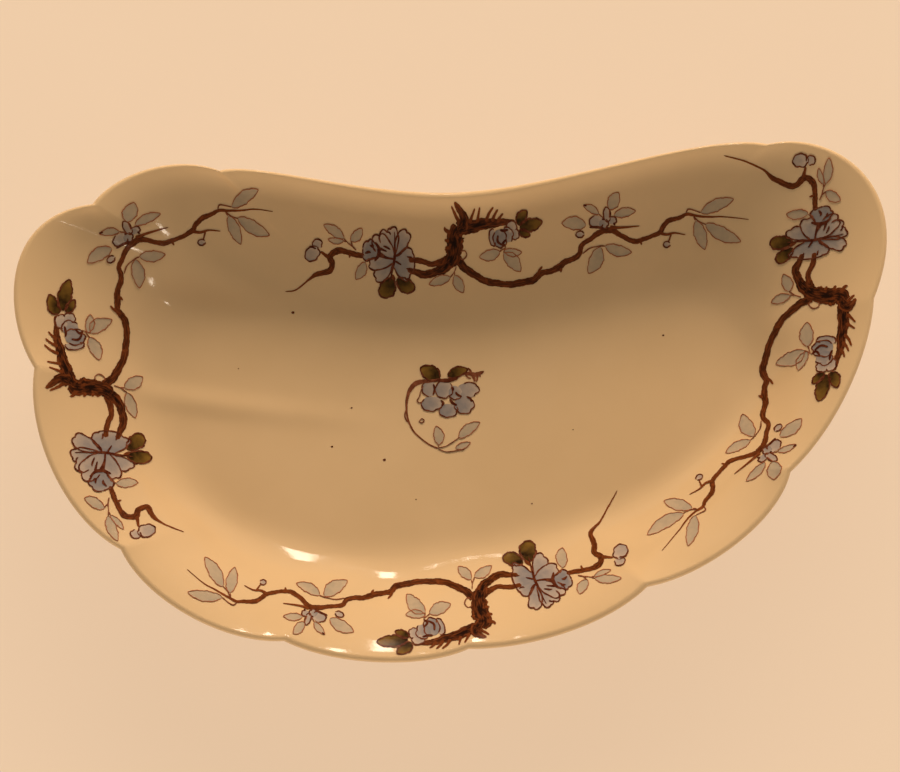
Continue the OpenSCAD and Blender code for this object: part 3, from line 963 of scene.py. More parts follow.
@dataclass
class Pen:
    """Draws strokes, lines, leaves and petals onto films at one place of the dish.

    The fields after the first two are the habits of the drawing hand, the same in every print.
    """

    form: DishForm
    place: SprayPlace | SheetPlace
    knot_steps: int = 10
    least_width: float = 0.1
    end_length: float = 0.3
    end_share: float = 0.12
    ribbon_sides: tuple[float, float] = (0.0, 2.6)
    dark_width: float = 1.75
    dark_span: float = 1.4
    side_wash: float = 0.55
    side_ripple: Ripple = Ripple(0.45, 1.3, 5.0)
    tone_ripple: Ripple = Ripple(0.25, 1.7, 3.0)
    pressure: Ripple = Ripple(0.35, 1.5, 0.0)
    line_rough: float = 0.1
    leaf_steps: int = 25
    leaf_across: int = 7
    leaf_edge: float = 0.04
    leaf_sides: tuple[float, float] = (0.0, 1.9)
    leaf_pitch: float = 14.0
    leaf_bow: float = 0.06
    bow_turn: float = 3.7
    leaf_wash: float = 0.2
    leaf_wash_aside: float = 0.25
    aside_turn: float = 2.3
    petal_steps: int = 48
    petal_rings: int = 5
    scallop_from: float = 0.4
    scallop_depth: float = 0.2
    scallop_pitch: float = 2.5
    scallop_mean: float = 0.75
    flutter_depth: float = 0.03
    flutter_pitch: float = 7.0
    petal_wash_middle: float = 0.3
    petal_wash_foot: float = 0.5
    outline_step: float = 6.0
    outline_least: int = 8

    def plan(self, drawn: Array) -> Array:
        """Plan points of drawn points."""
        return self.place.lay(self.form, np.asarray(drawn, float))

    def ribbon_wash(self, s: Array, v: Array, width: Array, tone: float | None, seed: float) -> Array:
        """Share of the second colour on a ribbon.

        With a tone it is that tone plus a ripple along the ribbon. Without one it is the square of the way to
        the sides times a depth that ripples, or more where the ribbon is thin.

        Args:
            s: length along the ribbon at each row.
            v: way across it at each column, from 1 to -1.
            width: width at each row.
            tone: share of the second colour, or None.
            seed: sets the ripple off from others.

        Returns:
            A row for each length and a column for each way across.
        """
        if tone is None:
            thin = np.clip((self.dark_width - width) / self.dark_span, 0, 1)[:, None]
            depth = self.side_wash + self.side_ripple.along(s, seed)
            wash = np.maximum(thin, v[None, :] ** 2 * depth[:, None])
        else:
            wash = np.clip(tone + self.tone_ripple.along(s, seed), 0, 1)[:, None] + 0 * v[None, :]
        return np.clip(wash, 0, 1)

    def ribbon(self, path: Array, width: Array, look: StrokeLook, seed: float) -> Patch:
        """Ribbon along a path in plan.

        Each side stands off the path at a right angle by half the width, times one plus a ripple of its own,
        and the ends close in as a quarter circle over a short length.

        Args:
            path: points in plan, closely spaced.
            width: width at each point.
            look: how it is drawn.
            seed: sets its ripples off from others.

        Returns:
            The patch.
        """
        ahead = np.gradient(path, axis=0)
        along = ahead / np.maximum(TINY, np.linalg.norm(ahead, axis=-1, keepdims=True))
        s = lengths_along(path)
        near = np.clip(np.minimum(s, s[-1] - s) / self.end_length, 0, 1)
        half = 0.5 * width * np.maximum(self.end_share, np.sqrt(1 - (1 - near) ** 2))
        left, right = (half * (1 + look.rough * ripple(s, seed + k)) for k in self.ribbon_sides)
        v = np.linspace(1, -1, look.across)
        rows = across_path(path, quarter_left(along), left, right, v)
        return strip(rows, self.ribbon_wash(s, v, width, look.tone, seed), float(s[-1]))

    def stroke(self, film: Film, points: Stroke, look: StrokeLook, seed: float,
               tail: Array | None = None) -> None:
        """Draws a stroke of changing width: a ribbon along the smooth curve through its points.

        Args:
            film: the film that takes it.
            points: x, y and width at each point of the stroke.
            look: how it is drawn.
            seed: sets its ripples off from others.
            tail: points in plan, with widths, that carry it on.
        """
        drawn = np.array(points, float)
        knots = np.column_stack([self.plan(drawn[:, :2]), drawn[:, 2]])
        if tail is not None:
            knots = np.vstack([knots, tail])
        spans = len(knots) - 1
        fine = curve_through(knots, np.linspace(0, spans, spans * self.knot_steps + 1))
        film.add(self.ribbon(fine[:, :2], np.maximum(self.least_width, fine[:, 2]), look, seed))

    def strokes(self, film: Film, drawn: tuple[Stroke, ...], look: StrokeLook, first: float,
                step: float = 1.0) -> None:
        """Draws several strokes alike.

        Args:
            film: the film that takes them.
            drawn: the strokes.
            look: how they are drawn.
            first: seed of the first one.
            step: what each further one adds to the seed.
        """
        for number, points in enumerate(drawn):
            self.stroke(film, points, look, first + step * number)

    def line(self, film: Film, drawn: Array, look: LineLook, seed: float) -> None:
        """Draws a thin line of uneven pressure through closely spaced drawn points.

        Args:
            film: the film that takes it.
            drawn: points of the drawing.
            look: how it is drawn.
            seed: sets its pressure off from others.
        """
        path = self.plan(drawn)
        width = look.width * (1 + self.pressure.along(lengths_along(path), seed))
        film.add(self.ribbon(path, width, StrokeLook(self.line_rough, 2, look.tone), seed))

    def stems(self, film: Film, drawn: tuple[Stroke, ...], look: LineLook, step: float) -> None:
        """Draws several stems as thin lines through a few points each.

        Args:
            film: the film that takes them.
            drawn: the stems.
            look: how they are drawn.
            step: what each further one adds to the seed.
        """
        for number, points in enumerate(drawn):
            self.line(film, smooth_line(points), look, step * number)

    def leaf(self, film: Film, lines: Film, mark: Mark, look: LeafLook, seed: float) -> None:
        """Draws a leaf with its outline.

        Its half width is half the mark's width times a power of the sine of half a turn along it, with a
        slight ripple, and its midrib bows to one side as a sine. The wash deepens towards the foot.

        Args:
            film: the film of the wash.
            lines: the film of the outline.
            mark: foot x and y, tip x and y, and width.
            look: how it is drawn.
            seed: sets its ripple off from others.
        """
        foot, tip, wide = np.array(mark[:2]), np.array(mark[2:4]), mark[4]
        length = float(np.linalg.norm(tip - foot))
        side = np.array([foot[1] - tip[1], tip[0] - foot[0]]) / length
        t = np.linspace(0, 1, self.leaf_steps)
        bow = self.leaf_bow * length * math.sin(self.bow_turn * seed) * np.sin(np.pi * t)
        rib = foot + t[:, None] * (tip - foot) + bow[:, None] * side
        swell = 0.5 * wide * np.sin(np.pi * t**look.lean) ** look.fullness
        waves = (1 + look.wave * ripple(self.leaf_pitch * t, seed + k) for k in self.leaf_sides)
        left, right = (np.maximum(self.leaf_edge, swell * wave) for wave in waves)
        v = np.linspace(1, -1, self.leaf_across)
        rows = across_path(rib, np.broadcast_to(side, rib.shape), left, right, v)
        aside = self.leaf_wash_aside * v[None, :] * math.cos(self.aside_turn * seed)
        wash = np.clip(self.leaf_wash + look.fall * (1 - t[:, None]) + aside, 0, 1)
        film.add(strip(self.plan(rows.reshape(-1, 2)).reshape(rows.shape), wash, length))
        loop = np.vstack([rib + left[:, None] * side, (rib - right[:, None] * side)[::-1]])
        self.line(lines, loop, look.outline, seed)

    def leaves(self, film: Film, lines: Film, marks: Marks, look: LeafLook, first: float) -> None:
        """Draws several leaves alike.

        Args:
            film: the film of the wash.
            lines: the film of the outlines.
            marks: the leaves.
            look: how they are drawn.
            first: seed of the first one, to which each further one adds 1.
        """
        for number, mark in enumerate(marks):
            self.leaf(film, lines, mark, look, first + number)

    def petal_rim(self, mark: Mark, taper: float, seed: float, angle: Array) -> Array:
        """Rim of a petal.

        It is a turned oval whose breadth grows towards the tip as a cosine, times one plus shallow scallops
        near the tip and a fine flutter all round.

        Args:
            mark: middle x and y, half length, half width and turn come first in it.
            taper: how much broader the tip is than the middle, as a share.
            seed: sets its scallops off from others.
            angle: places on the rim in radians, from the tip.

        Returns:
            Drawn points.
        """
        x, y, long, wide, turn = mark[:5]
        c, s = math.cos(math.radians(turn)), math.sin(math.radians(turn))
        axes = np.array([[long * c, long * s], [-wide * s, wide * c]])
        tip = np.clip(self.scallop_from + np.cos(angle), 0, 1)
        bows = np.sqrt(np.abs(np.sin(self.scallop_pitch * angle + seed)))
        scallop = self.scallop_depth * tip * (bows - self.scallop_mean)
        far = 1 + scallop + self.flutter_depth * np.sin(self.flutter_pitch * angle + 2 * seed)
        breadth = np.sin(angle) * (1 + taper * np.cos(angle))
        return np.array([x, y]) + far[:, None] * (np.stack([np.cos(angle), breadth], axis=-1) @ axes)

    def petal(self, film: Film, lines: Film, mark: Mark, look: PetalLook, seed: float) -> None:
        """Draws a petal with part of its outline.

        The wash is as deep as the mark says, deeper in the middle and at the petal's foot, and pales towards
        its tip with the square of the way out.

        Args:
            film: the film of the wash.
            lines: the film of the outline.
            mark: middle x and y, half length, half width, turn, start and end of the outline, depth of wash.
            look: how it is drawn.
            seed: sets its scallops off from others.
        """
        x, y, *_, start, end, depth = mark
        turns = np.linspace(0, 2 * np.pi, self.petal_steps, endpoint=False)
        share = (np.arange(1, self.petal_rings + 1) / self.petal_rings)[:, None]
        pale = self.petal_wash_foot * share**2 * np.cos(turns)[None, :] * (depth > 0)
        wash = np.clip(depth + self.petal_wash_middle * (1 - share) - pale, 0, 1)
        rim = self.petal_rim(mark, look.taper, seed, turns)
        film.add(disc(self.plan(np.array([[x, y]]))[0], self.plan(rim), wash))
        if look.outline is not None and end > start:
            count = max(self.outline_least, int((end - start) / self.outline_step))
            arc = np.radians(np.linspace(start, end, count))
            self.line(lines, self.petal_rim(mark, look.taper, seed, arc), look.outline, seed)

    def petals(self, film: Film, lines: Film, marks: Marks, look: PetalLook, first: float) -> None:
        """Draws several petals alike.

        Args:
            film: the film of the wash.
            lines: the film of the outlines.
            marks: the petals.
            look: how they are drawn.
            first: seed of the first one, to which each further one adds 1.
        """
        for number, mark in enumerate(marks):
            self.petal(film, lines, mark, look, first + number)


@dataclass
class PrintFilms:
    """Films of one print: washes of leaves, dark leaves and petals, ink of the branch, and ink of the lines.

    Each film has a lift over the glaze and the layer by which each of its patches lies above the last.
    """

    form: DishForm
    name: str
    branch_name: str
    branch_finish: Finish
    line_lift: float
    line_layer: float = 0.0002
    leaf_lift: float = 0.05
    dark_lift: float = 0.06
    dark_layer: float = 0.004
    petal_lift: float = 0.055
    petal_layer: float = 0.003
    branch_lift: float = 0.08
    branch_layer: float = 0.002
    leaf: Film = field(init=False)
    dark: Film = field(init=False)
    petal: Film = field(init=False)
    branch: Film = field(init=False)
    line: Film = field(init=False)

    def __post_init__(self) -> None:
        """Makes the five films, with nothing drawn on them yet."""
        form, name = self.form, self.name
        self.leaf = Film(form, f"{name}_leaf_wash", LEAF, self.leaf_lift)
        self.dark = Film(form, f"{name}_olive_wash", DARK_LEAF, self.dark_lift, self.dark_layer)
        self.petal = Film(form, f"{name}_petal_wash", BLOSSOM, self.petal_lift, self.petal_layer)
        self.branch = Film(form, self.branch_name, self.branch_finish, self.branch_lift, self.branch_layer)
        self.line = Film(form, f"{name}_outline_ink", OUTLINE, self.line_lift, self.line_layer)

    def build(self, branch_node: str, petal_node: str) -> None:
        """Builds and registers the films once they are drawn.

        Args:
            branch_node: CAD node that the branch's ink stands for.
            petal_node: CAD node that the petals' wash stands for.
        """
        register(self.branch.build(), Slot.BRANCH, branch_node)
        register(self.leaf.build(), Slot.LEAF, f"{self.name}_leaves")
        register(self.dark.build(), Slot.DARK_LEAF, f"{self.name}_dark_leaves")
        register(self.petal.build(), Slot.BLOSSOM, petal_node)
        register(self.line.build(), Slot.BRANCH)


@dataclass(frozen=True)
class Flower:
    """Large blossom seen from the side, drawn in its own axes: up towards its bud, right towards the rim.

    A petal is its foot's place up and right, its way out in degrees from up towards right, length, half
    width, start and end of its outline in degrees, and depth of wash. A stroke's points are up, right and
    width.
    """

    middle: tuple[float, float] = (-10.4, 1.2)
    lean: float = 167.2
    petals: Marks = (
        (0.3, -0.5, -50, 4.2, 1.1, -60, 172, 0.5), (0.6, 1, 58, 4, 1, -70, 80, 0.45),
        (0.2, 0.7, 80, 4.5, 1, -172, 50, 0.5), (-0.3, 0.7, 108, 4.4, 1.15, -172, 120, 0.55),
        (0.2, -0.4, 182, 3.9, 2.5, -150, 150, 0.7), (0, 0, 9, 3.8, 1.4, 0, 0, 0.8),
        (0, -0.2, -14, 4.7, 1, -70, 176, 0.55), (0, 0.3, 36, 5.1, 1.4, -176, 75, 0.4),
        (2.9, 0.8, 8, 3.1, 1.6, 0, 360, 1),
    )
    strokes: tuple[Stroke, ...] = (
        (
            (0.5, -3.8, 0.16), (0.15, -1.8, 0.3), (0, 0, 0.5), (0.1, 1.6, 0.4), (0.3, 3.5, 0.22),
            (0.5, 4.5, 0.14),
        ),
        ((0, 0.1, 0.3), (1.4, 0.2, 0.4), (2.5, 0.5, 0.8), (3.1, 0.7, 1.2)),
        ((1.5, 1.2, 0.2), (2.2, 1.4, 0.35), (3, 1.6, 0.5)),
        ((0.9, 1.6, 0.25), (1.7, 1.9, 0.35), (2.3, 2, 0.2)),
        ((3.6, -0.6, 0.3), (3, 0.5, 0.65), (3.1, 1.6, 0.55), (3.8, 2.5, 0.3)),
        ((5.5, 0.5, 0.25), (4.9, 0.8, 0.5), (4.4, 0.7, 0.2)),
        ((4.8, 1.9, 0.2), (4.4, 1.8, 0.4), (4, 1.5, 0.2)),
        ((-0.2, -0.2, 0.4), (-1.4, -0.7, 0.2)),
        ((-0.2, 0.6, 0.4), (-1.3, 1.2, 0.2)),
        ((-3.3, -1.4, 0.2), (-2.7, -1.2, 0.3), (-2.3, -1.2, 0.15)),
        ((-3.2, 0.8, 0.2), (-2.6, 0.7, 0.3), (-2.2, 0.8, 0.15)),
    )

    def spot(self, up: float, right: float) -> tuple[float, float]:
        """Drawn point at distances up and right of the flower's middle."""
        c, s = math.cos(math.radians(self.lean)), math.sin(math.radians(self.lean))
        return self.middle[0] + up * c + right * s, self.middle[1] + up * s - right * c

    def petal_marks(self) -> Marks:
        """The petals as marks of the spray's drawing.

        The middle of each lies half its length from its foot, on its way out.

        Returns:
            The marks, in the order in which the petals overlap.
        """
        marks = []
        for up, right, way, length, *rest in self.petals:
            a, half = math.radians(way), 0.5 * length
            middle = self.spot(up + half * math.cos(a), right + half * math.sin(a))
            marks.append((*middle, half, rest[0], self.lean - way, *rest[1:]))
        return tuple(marks)

    def stroke_marks(self) -> tuple[Stroke, ...]:
        """The dark strokes as strokes of the spray's drawing."""
        return tuple(tuple((*self.spot(up, right), w) for up, right, w in points) for points in self.strokes)


@dataclass
class FloweringSpray:
    """One printed spray on the wall, drawn with x along its line and y towards the rim.

    A stroke's points are x, y and width, and a stem's are x and y. A leaf is foot x and y, tip x and y, and
    width. A petal is middle x and y, half length, half width, turn, start and end of its outline in degrees,
    and depth of wash. What rises above the foot lines is shortened by the place's stump and frill.
    """

    form: DishForm
    place: SprayPlace
    flower: Flower = Flower()
    line_lift: float = 0.14
    tail_widths: Mark = (0.8, 0.36, 0.26, 0.16)
    twig: Stroke = (
        (-15.8, 2.5, 0.7), (-16.9, 2.8, 0.95), (-18.2, 3.2, 0.9), (-19.6, 3.8, 0.9), (-20.6, 4, 1.2),
        (-21.6, 3.6, 1.05), (-22.1, 2.9, 1.15), (-21.8, 1.9, 1), (-22.6, 0.8, 1.05),
    )
    bud_stalk: Stroke = ((-22.2, 3, 0.8), (-22.9, 3.5, 0.55), (-23.7, 4.2, 0.4))
    upper_strand: Stroke = (
        (-7.8, 1, 0.8), (-5.5, 0.4, 0.95), (-3.9, -0.2, 0.9), (-2.2, -0.2, 1.1), (-0.6, 0.1, 1.5)
    )
    lower_strand: Stroke = (
        (-8.2, -0.7, 0.7), (-6.8, -1.2, 1.1), (-4.9, -1.9, 1.35), (-3.2, -1.7, 1.45), (-1.4, -1.1, 1.8),
        (0, 0, 2.2),
    )
    trunk: Stroke = (
        (-0.8, -0.5, 1.9), (0.3, 0.4, 2.7), (0.8, 1.7, 3.1), (0.9, 2.9, 3.2), (1.1, 4, 3), (2, 4.9, 2.4)
    )
    limb: Stroke = (
        (1.6, 4.5, 2), (3.7, 4.9, 2), (6.5, 5.1, 1.8), (8.8, 5.2, 1.3), (10.5, 5.1, 1), (12.3, 5, 0.7)
    )
    stump_foot: float = 5.1
    stump_top: float = 10.2
    stump: Stroke = ((2.3, 4.9, 2.5), (3, 6.3, 1.9), (2.6, 7.7, 1.3), (2, 9.1, 0.9), (1.5, 10.2, 0.45))
    stump_side: Stroke = ((2.1, 5.9, 0.9), (1.7, 6.9, 0.6), (1.3, 8.1, 0.45), (0.9, 9.5, 0.3))
    spike_foot: float = 5.7
    spikes: tuple[Stroke, ...] = (
        ((3.9, 5.5, 0.7), (4.6, 6.8, 0.42), (5.1, 7.7, 0.3)),
        ((5.3, 5.5, 0.7), (5.7, 6.8, 0.42), (6, 7.8, 0.3)),
        ((6.9, 5.5, 0.7), (7.6, 6.7, 0.45), (8.5, 7.6, 0.32)),
        ((8, 5.4, 0.7), (8.6, 6.4, 0.45), (9.3, 7.2, 0.32)),
        ((9, 5.3, 0.7), (9.6, 6, 0.42), (10.2, 6.5, 0.3)),
    )
    burrs: tuple[Stroke, ...] = (
        ((-0.2, 1.9, 0.6), (-0.9, 2.2, 0.4)), ((-0.1, 3, 0.6), (-0.9, 3.4, 0.45)),
        ((0.3, 4.3, 0.8), (-0.6, 4.9, 0.55), (-0.7, 5.4, 0.3)), ((2, 2.6, 0.5), (2.6, 2.9, 0.3)),
        ((15.5, -4, 0.7), (16, -3.1, 0.45), (16.6, -2.5, 0.3)), ((6.1, -4.5, 0.6), (6, -3.6, 0.3)),
        ((20, -3, 0.6), (19.9, -3.8, 0.3)), ((35, 0.2, 0.5), (35.2, -0.5, 0.3)),
        ((-18.4, 3.2, 0.5), (-18.6, 2.5, 0.3)),
    )
    arch: Stroke = (
        (1, 0.2, 1.7), (2.1, -1.3, 1.4), (4, -3, 1.25), (6.5, -4.3, 1.2), (9.2, -4.9, 1.1), (12.1, -5, 1.2),
        (14.6, -4.6, 1.25), (16.2, -3.7, 1.05), (17.6, -3.5, 1), (19.5, -2.9, 1.15), (21, -2.1, 1),
        (22.6, -1.6, 0.95), (23.7, -0.8, 0.9), (24.2, 0.4, 0.85), (25.8, 1.3, 0.8), (27.3, 2.1, 0.9),
        (29.1, 2.5, 1.05), (30.3, 2.3, 0.95), (31.7, 1.3, 0.8), (33.7, 0.3, 0.9), (35.5, 0.4, 0.75),
        (37.3, 0.8, 0.75), (38.8, 1.4, 0.85), (39.5, 2.3, 0.85), (40.7, 3.1, 0.85), (42.5, 3.4, 0.7),
        (43.9, 3.8, 0.55), (46, 3.3, 0.4), (48.3, 2.9, 0.3), (50.4, 2.7, 0.22), (52.7, 2.2, 0.17),
        (55.1, 1.6, 0.12),
    )
    twiglets: tuple[Stroke, ...] = (
        ((29.6, 3, 0.55), (30.9, 2.8, 0.45), (32.4, 2.7, 0.35), (35.1, 2.7, 0.16)),
        ((38.6, 1.3, 0.6), (39.9, 0.8, 0.45), (41.4, 0.9, 0.3), (43.4, 0.4, 0.14)),
        ((40.8, 0.8, 0.35), (40.3, -0.2, 0.25), (40, -0.6, 0.16)),
        ((-11.2, -1.1, 0.4), (-11, -1.6, 0.6), (-10.7, -2.2, 0.5)),
    )
    leaves: Marks = (
        (-19.2, 5.8, -22.6, 8.4, 1.6), (-19.3, 5.4, -22.1, 6, 1), (-18, 5.2, -15.7, 6.9, 1.7),
        (-15.8, 1.4, -17.8, -1.2, 1.8), (-0.5, -2.9, -4.5, -3.6, 1.6), (0.3, -2.7, 1.6, -5.7, 1.8),
        (9, 0.5, 5.2, -0.1, 1.8), (9.8, 0.6, 13, 0.1, 1.3), (9.7, 0.2, 12.5, -3, 2.3),
        (25.2, 3.6, 20.8, 4.2, 2.1), (29.7, 5.8, 31.6, 8.3, 2.1), (30.5, 4.8, 34.5, 5.2, 1.5),
        (27.7, 5.2, 25, 6.7, 1.2), (27.6, -0.2, 25, -4.4, 2.5), (28.5, -0.1, 33.2, -1.6, 1.9),
        (46.5, 3.8, 52.6, 5.4, 2), (45.5, 2.5, 46.7, -2.5, 2.2), (47.2, 1.8, 53.3, -2, 2.3),
    )
    sepals: Marks = ((-11, -1.8, -13.5, -4.7, 2.9), (-10.3, -2, -7.3, -4.2, 2.4))
    olive_leaves: Marks = (
        (12.6, 4.6, 14.5, 6.6, 1.7), (13, 4.1, 17.2, 4.7, 2), (12.8, 3.5, 14.8, 2.7, 1.2)
    )
    petals: Marks = (
        (-25.3, 4, 1.45, 1.15, 30, 20, 380, 0.2), (-24.2, 5.5, 0.9, 0.8, 10, -60, 240, 0.15),
        (7.9, 2.9, 0.65, 1.35, 0, 60, 320, 0.35), (9.2, 2.6, 1.25, 1.45, 0, 130, 420, 0.75),
        (10.6, 3.1, 1.1, 1.2, 0, -60, 120, 0.6), (11.5, 4.3, 0.95, 0.9, 0, -40, 190, 0.1),
        (12, 3.1, 0.8, 0.85, 0, -120, 60, 0.3), (27.2, 4, 1.35, 0.95, 0, 100, 330, 0.25),
        (28.5, 3.6, 0.85, 0.75, 0, -100, 60, 0.5), (30.1, 4, 0.8, 0.6, 0, -60, 120, 0.4),
        (29.2, 5, 0.65, 1.15, 0, -30, 330, 0.2), (24, 2.2, 0.75, 0.5, 0, 10, 350, 0.1),
        (39.8, -0.9, 0.6, 0.5, 0, 20, 350, 0.15),
    )
    dark_strokes: tuple[Stroke, ...] = (
        ((8.9, 3.2, 0.35), (8.8, 2.2, 0.45), (9.6, 1.5, 0.3)),
        ((10.2, 1.2, 0.3), (9.7, 1.8, 0.45), (10.4, 2.4, 0.3)),
        ((9.3, 4, 0.3), (10, 3.8, 0.45), (10.9, 3.9, 0.3)),
        ((25.8, 3.2, 0.3), (27.3, 3.1, 0.45), (28.5, 2.8, 0.4)),
        ((28.2, 4.4, 0.3), (28.6, 4.2, 0.4)), ((30.3, 3.6, 0.5), (30.6, 3.2, 0.35)),
        ((25, 6.8, 0.3), (25.6, 6.6, 0.3)), ((-26, 4.9, 0.2), (-25.5, 5.2, 0.35), (-24.9, 5, 0.2)),
    )
    stems: tuple[Stroke, ...] = (
        ((-17.2, 3.6), (-17.8, 4.3), (-18.6, 5), (-19.2, 5.8)), ((-17.8, 4.3), (-17.9, 4.8), (-18, 5.3)),
        ((-18.8, 5.2), (-19.3, 5.4)), ((-14.4, 1.8), (-15.1, 1.9), (-15.8, 1.4)),
        ((0.8, -1.2), (0.3, -2.1), (-0.5, -2.9)), ((0.4, -2), (0.3, -2.7)),
        ((10.2, 1.1), (9.5, 0.8), (8.9, 0.5)), ((10, 1), (9.8, 0.6), (9.7, 0.2)),
        ((24.2, -1), (25.7, -0.2), (27.7, 0), (28.5, -0.1)), ((43.7, 4), (44.4, 4.6), (46.5, 3.8)),
        ((45.1, 3.3), (46, 2.4), (47.3, 1.7)), ((45.1, 3.3), (45.4, 2.6)), ((29.6, 4.4), (29.7, 5.8)),
        ((28.6, 4.4), (27.7, 5.2)), ((1.8, 1.2), (2.6, 1.2), (2.9, 0.5), (2.3, -0.1), (1.7, 0)),
    )

    def shortened(self, points: Stroke, foot: float, share: float) -> Stroke:
        """Stroke whose height above a foot line is taken at a share."""
        return tuple((x, y if y < foot else foot + (y - foot) * share, w) for x, y, w in points)

    def draw_branch(self, pen: Pen, film: Film) -> None:
        """Draws the twig with its tail, the arch, the trunk with its strands, limb, stump, spikes and burrs.

        Args:
            pen: the pen at this spray's place.
            film: the film of the branch's ink.
        """
        tail = np.column_stack([self.form.place(self.place.tail), self.tail_widths])
        pen.stroke(film, self.twig, TWIG_STROKE, seed=1.1, tail=tail)
        reach = (self.place.stump - self.stump_foot) / (self.stump_top - self.stump_foot)
        stumps = [self.shortened(points, self.stump_foot, reach) for points in (self.stump_side, self.stump)]
        spikes = [self.shortened(points, self.spike_foot, self.place.frill) for points in self.spikes]
        heavy = (self.arch, self.upper_strand, self.lower_strand, self.trunk, self.limb, *stumps)
        pen.strokes(film, heavy, BRANCH_STROKE, first=2.0, step=3.0)
        pen.strokes(film, (self.bud_stalk, *spikes, *self.burrs, *self.twiglets), THORN_STROKE, first=7.0)

    def build(self) -> None:
        """Draws the spray and builds its five films."""
        name = self.place.name
        pen = Pen(self.form, self.place)
        films = PrintFilms(self.form, name, f"{name}_branch_ink", BRANCH, self.line_lift)
        pen.leaves(films.leaf, films.line, self.leaves, PALE_LEAF, first=1.0)
        pen.leaves(films.dark, films.line, self.sepals, SEPAL, first=2.0)
        pen.leaves(films.dark, films.line, self.olive_leaves, OLIVE_LEAF, first=4.0)
        pen.petals(films.petal, films.line, self.flower.petal_marks(), BROAD_PETAL, first=0.5)
        pen.petals(films.petal, films.line, self.petals, SMALL_PETAL, first=9.5)
        self.draw_branch(pen, films.branch)
        pen.stems(films.line, self.stems, STEM_LINE, step=0.7)
        pen.strokes(films.line, (*self.flower.stroke_marks(), *self.dark_strokes), DARK_STROKE, first=30.0)
        films.build(f"{name}_branch", f"{name}_blossoms")


@dataclass
class CentreSprig:
    """Small printed sprig on the floor, drawn on the sheet with the same kinds of marks as a spray."""

    form: DishForm
    line_lift: float = 0.12
    stem: Stroke = (
        (-1, 5.2, 0.5), (-3.2, 5.1, 0.6), (-5.2, 5.1, 0.85), (-6.6, 4.4, 0.85), (-7.5, 2.8, 0.6),
        (-8, 0.6, 0.4), (-7.9, -1.7, 0.35), (-7.2, -3.9, 0.32), (-6, -5.4, 0.28), (-4.4, -6.9, 0.28),
        (-3, -7.7, 0.3),
    )
    side_stem: Stroke = ((-7.9, 0.7, 0.2), (-8.4, -0.8, 0.26), (-8.2, -1.9, 0.26), (-7.6, -2.3, 0.2))
    twig: Stroke = ((3, 5.9, 0.4), (4.2, 5.7, 0.7), (5.2, 5.4, 0.9), (6.3, 5.7, 0.6), (6.9, 5.9, 0.3))
    twig_spikes: tuple[Stroke, ...] = (
        ((4.7, 5.4, 0.6), (5, 4.6, 0.5), (4.9, 4.1, 0.3)), ((4.4, 5.8, 0.5), (4.4, 6.3, 0.4), (4, 6.9, 0.25)),
        ((5.6, 5.4, 0.5), (5.5, 4.5, 0.35), (5.2, 4, 0.2)), ((5.9, 5.5, 0.4), (6.2, 4.9, 0.25)),
        ((3.4, 5.7, 0.4), (3.9, 5, 0.3), (4.4, 4.8, 0.2)),
    )
    leaves: Marks = ((-2.7, -7, -2.9, -3.5, 1.9), (1, -6.1, 5.1, -3.6, 1.9), (0.2, -8, 3, -7.2, 1.2))
    olive_leaves: Marks = ((-1.4, 5.3, -4.6, 7.8, 2.8), (0.2, 5.6, 3.9, 6.6, 1.9))
    petals: Marks = (
        (-3.4, 3.7, 1.4, 1.5, 0, 60, 260, 0.45), (3.6, 2.7, 2, 1.4, 0, -65, 110, 0.4),
        (-3.3, 0.8, 1.9, 1.4, 0, 130, 335, 0.6), (-0.4, -0.8, 1.7, 1.25, 0, 150, 385, 0.7),
        (2.6, 0, 1.8, 1.7, 0, 180, 400, 0.65), (-0.8, 3.2, 1.6, 1.6, 0, 110, 400, 0.5),
        (1.2, 2.4, 1.2, 1.3, 0, 200, 330, 0.6),
    )
    dark_strokes: tuple[Stroke, ...] = (
        ((-1.6, 1.3, 0.35), (-1.2, 0.7, 0.5), (-1.5, 0.1, 0.3)),
        ((0.1, 1.3, 0.4), (0.5, 0.6, 0.5), (1.3, 0, 0.4)),
        ((3.2, 1.5, 0.3), (3.9, 1, 0.45), (4, 0.4, 0.3)), ((1.3, 2.6, 0.3), (1.6, 2, 0.45), (2.4, 1.5, 0.3)),
        ((-2.6, 4.5, 0.3), (-2.5, 3.4, 0.4), (-2.9, 2.4, 0.3)), ((0.9, 3.6, 0.3), (0.9, 2.8, 0.4)),
        ((-2, 5.1, 0.5), (0, 4.9, 0.8), (2, 5.1, 0.5)),
    )
    stems: tuple[Stroke, ...] = (
        ((-6, 1.6), (-5.4, 2.4), (-5, 3.5), (-4.5, 4.3)), ((-6, 1.6), (-5.5, 1.2), (-5, 1.4)),
        ((-3, -7.6), (-1.5, -7.4), (0, -6.7), (1.2, -6)),
        ((-3, -7.8), (-1.5, -8.5), (0.2, -8.5), (1.8, -8.4)),
        ((-3, -7.5), (-2.7, -6.9)), ((-5.9, -2.2), (-5.4, -1.8), (-5, -2.2), (-5.5, -2.6), (-6, -2.2)),
    )

    def build(self) -> None:
        """Draws the sprig and builds its five films."""
        pen = Pen(self.form, SheetPlace())
        films = PrintFilms(self.form, "centre", "centre_stem_ink", OUTLINE, self.line_lift)
        pen.leaves(films.leaf, films.line, self.leaves, SPRIG_LEAF, first=3.0)
        pen.leaves(films.dark, films.line, self.olive_leaves, SPRIG_OLIVE_LEAF, first=1.0)
        pen.petals(films.petal, films.line, self.petals, SMALL_PETAL, first=0.9)
        stems = (self.stem, self.side_stem, self.twig, *self.twig_spikes)
        pen.strokes(films.branch, stems, SPRIG_STROKE, first=0.0, step=3.0)
        pen.strokes(films.line, self.dark_strokes, DARK_STROKE, first=40.0)
        pen.stems(films.line, self.stems, SPRIG_LINE, step=0.9)
        films.build("centre_stem", "centre_blossom")


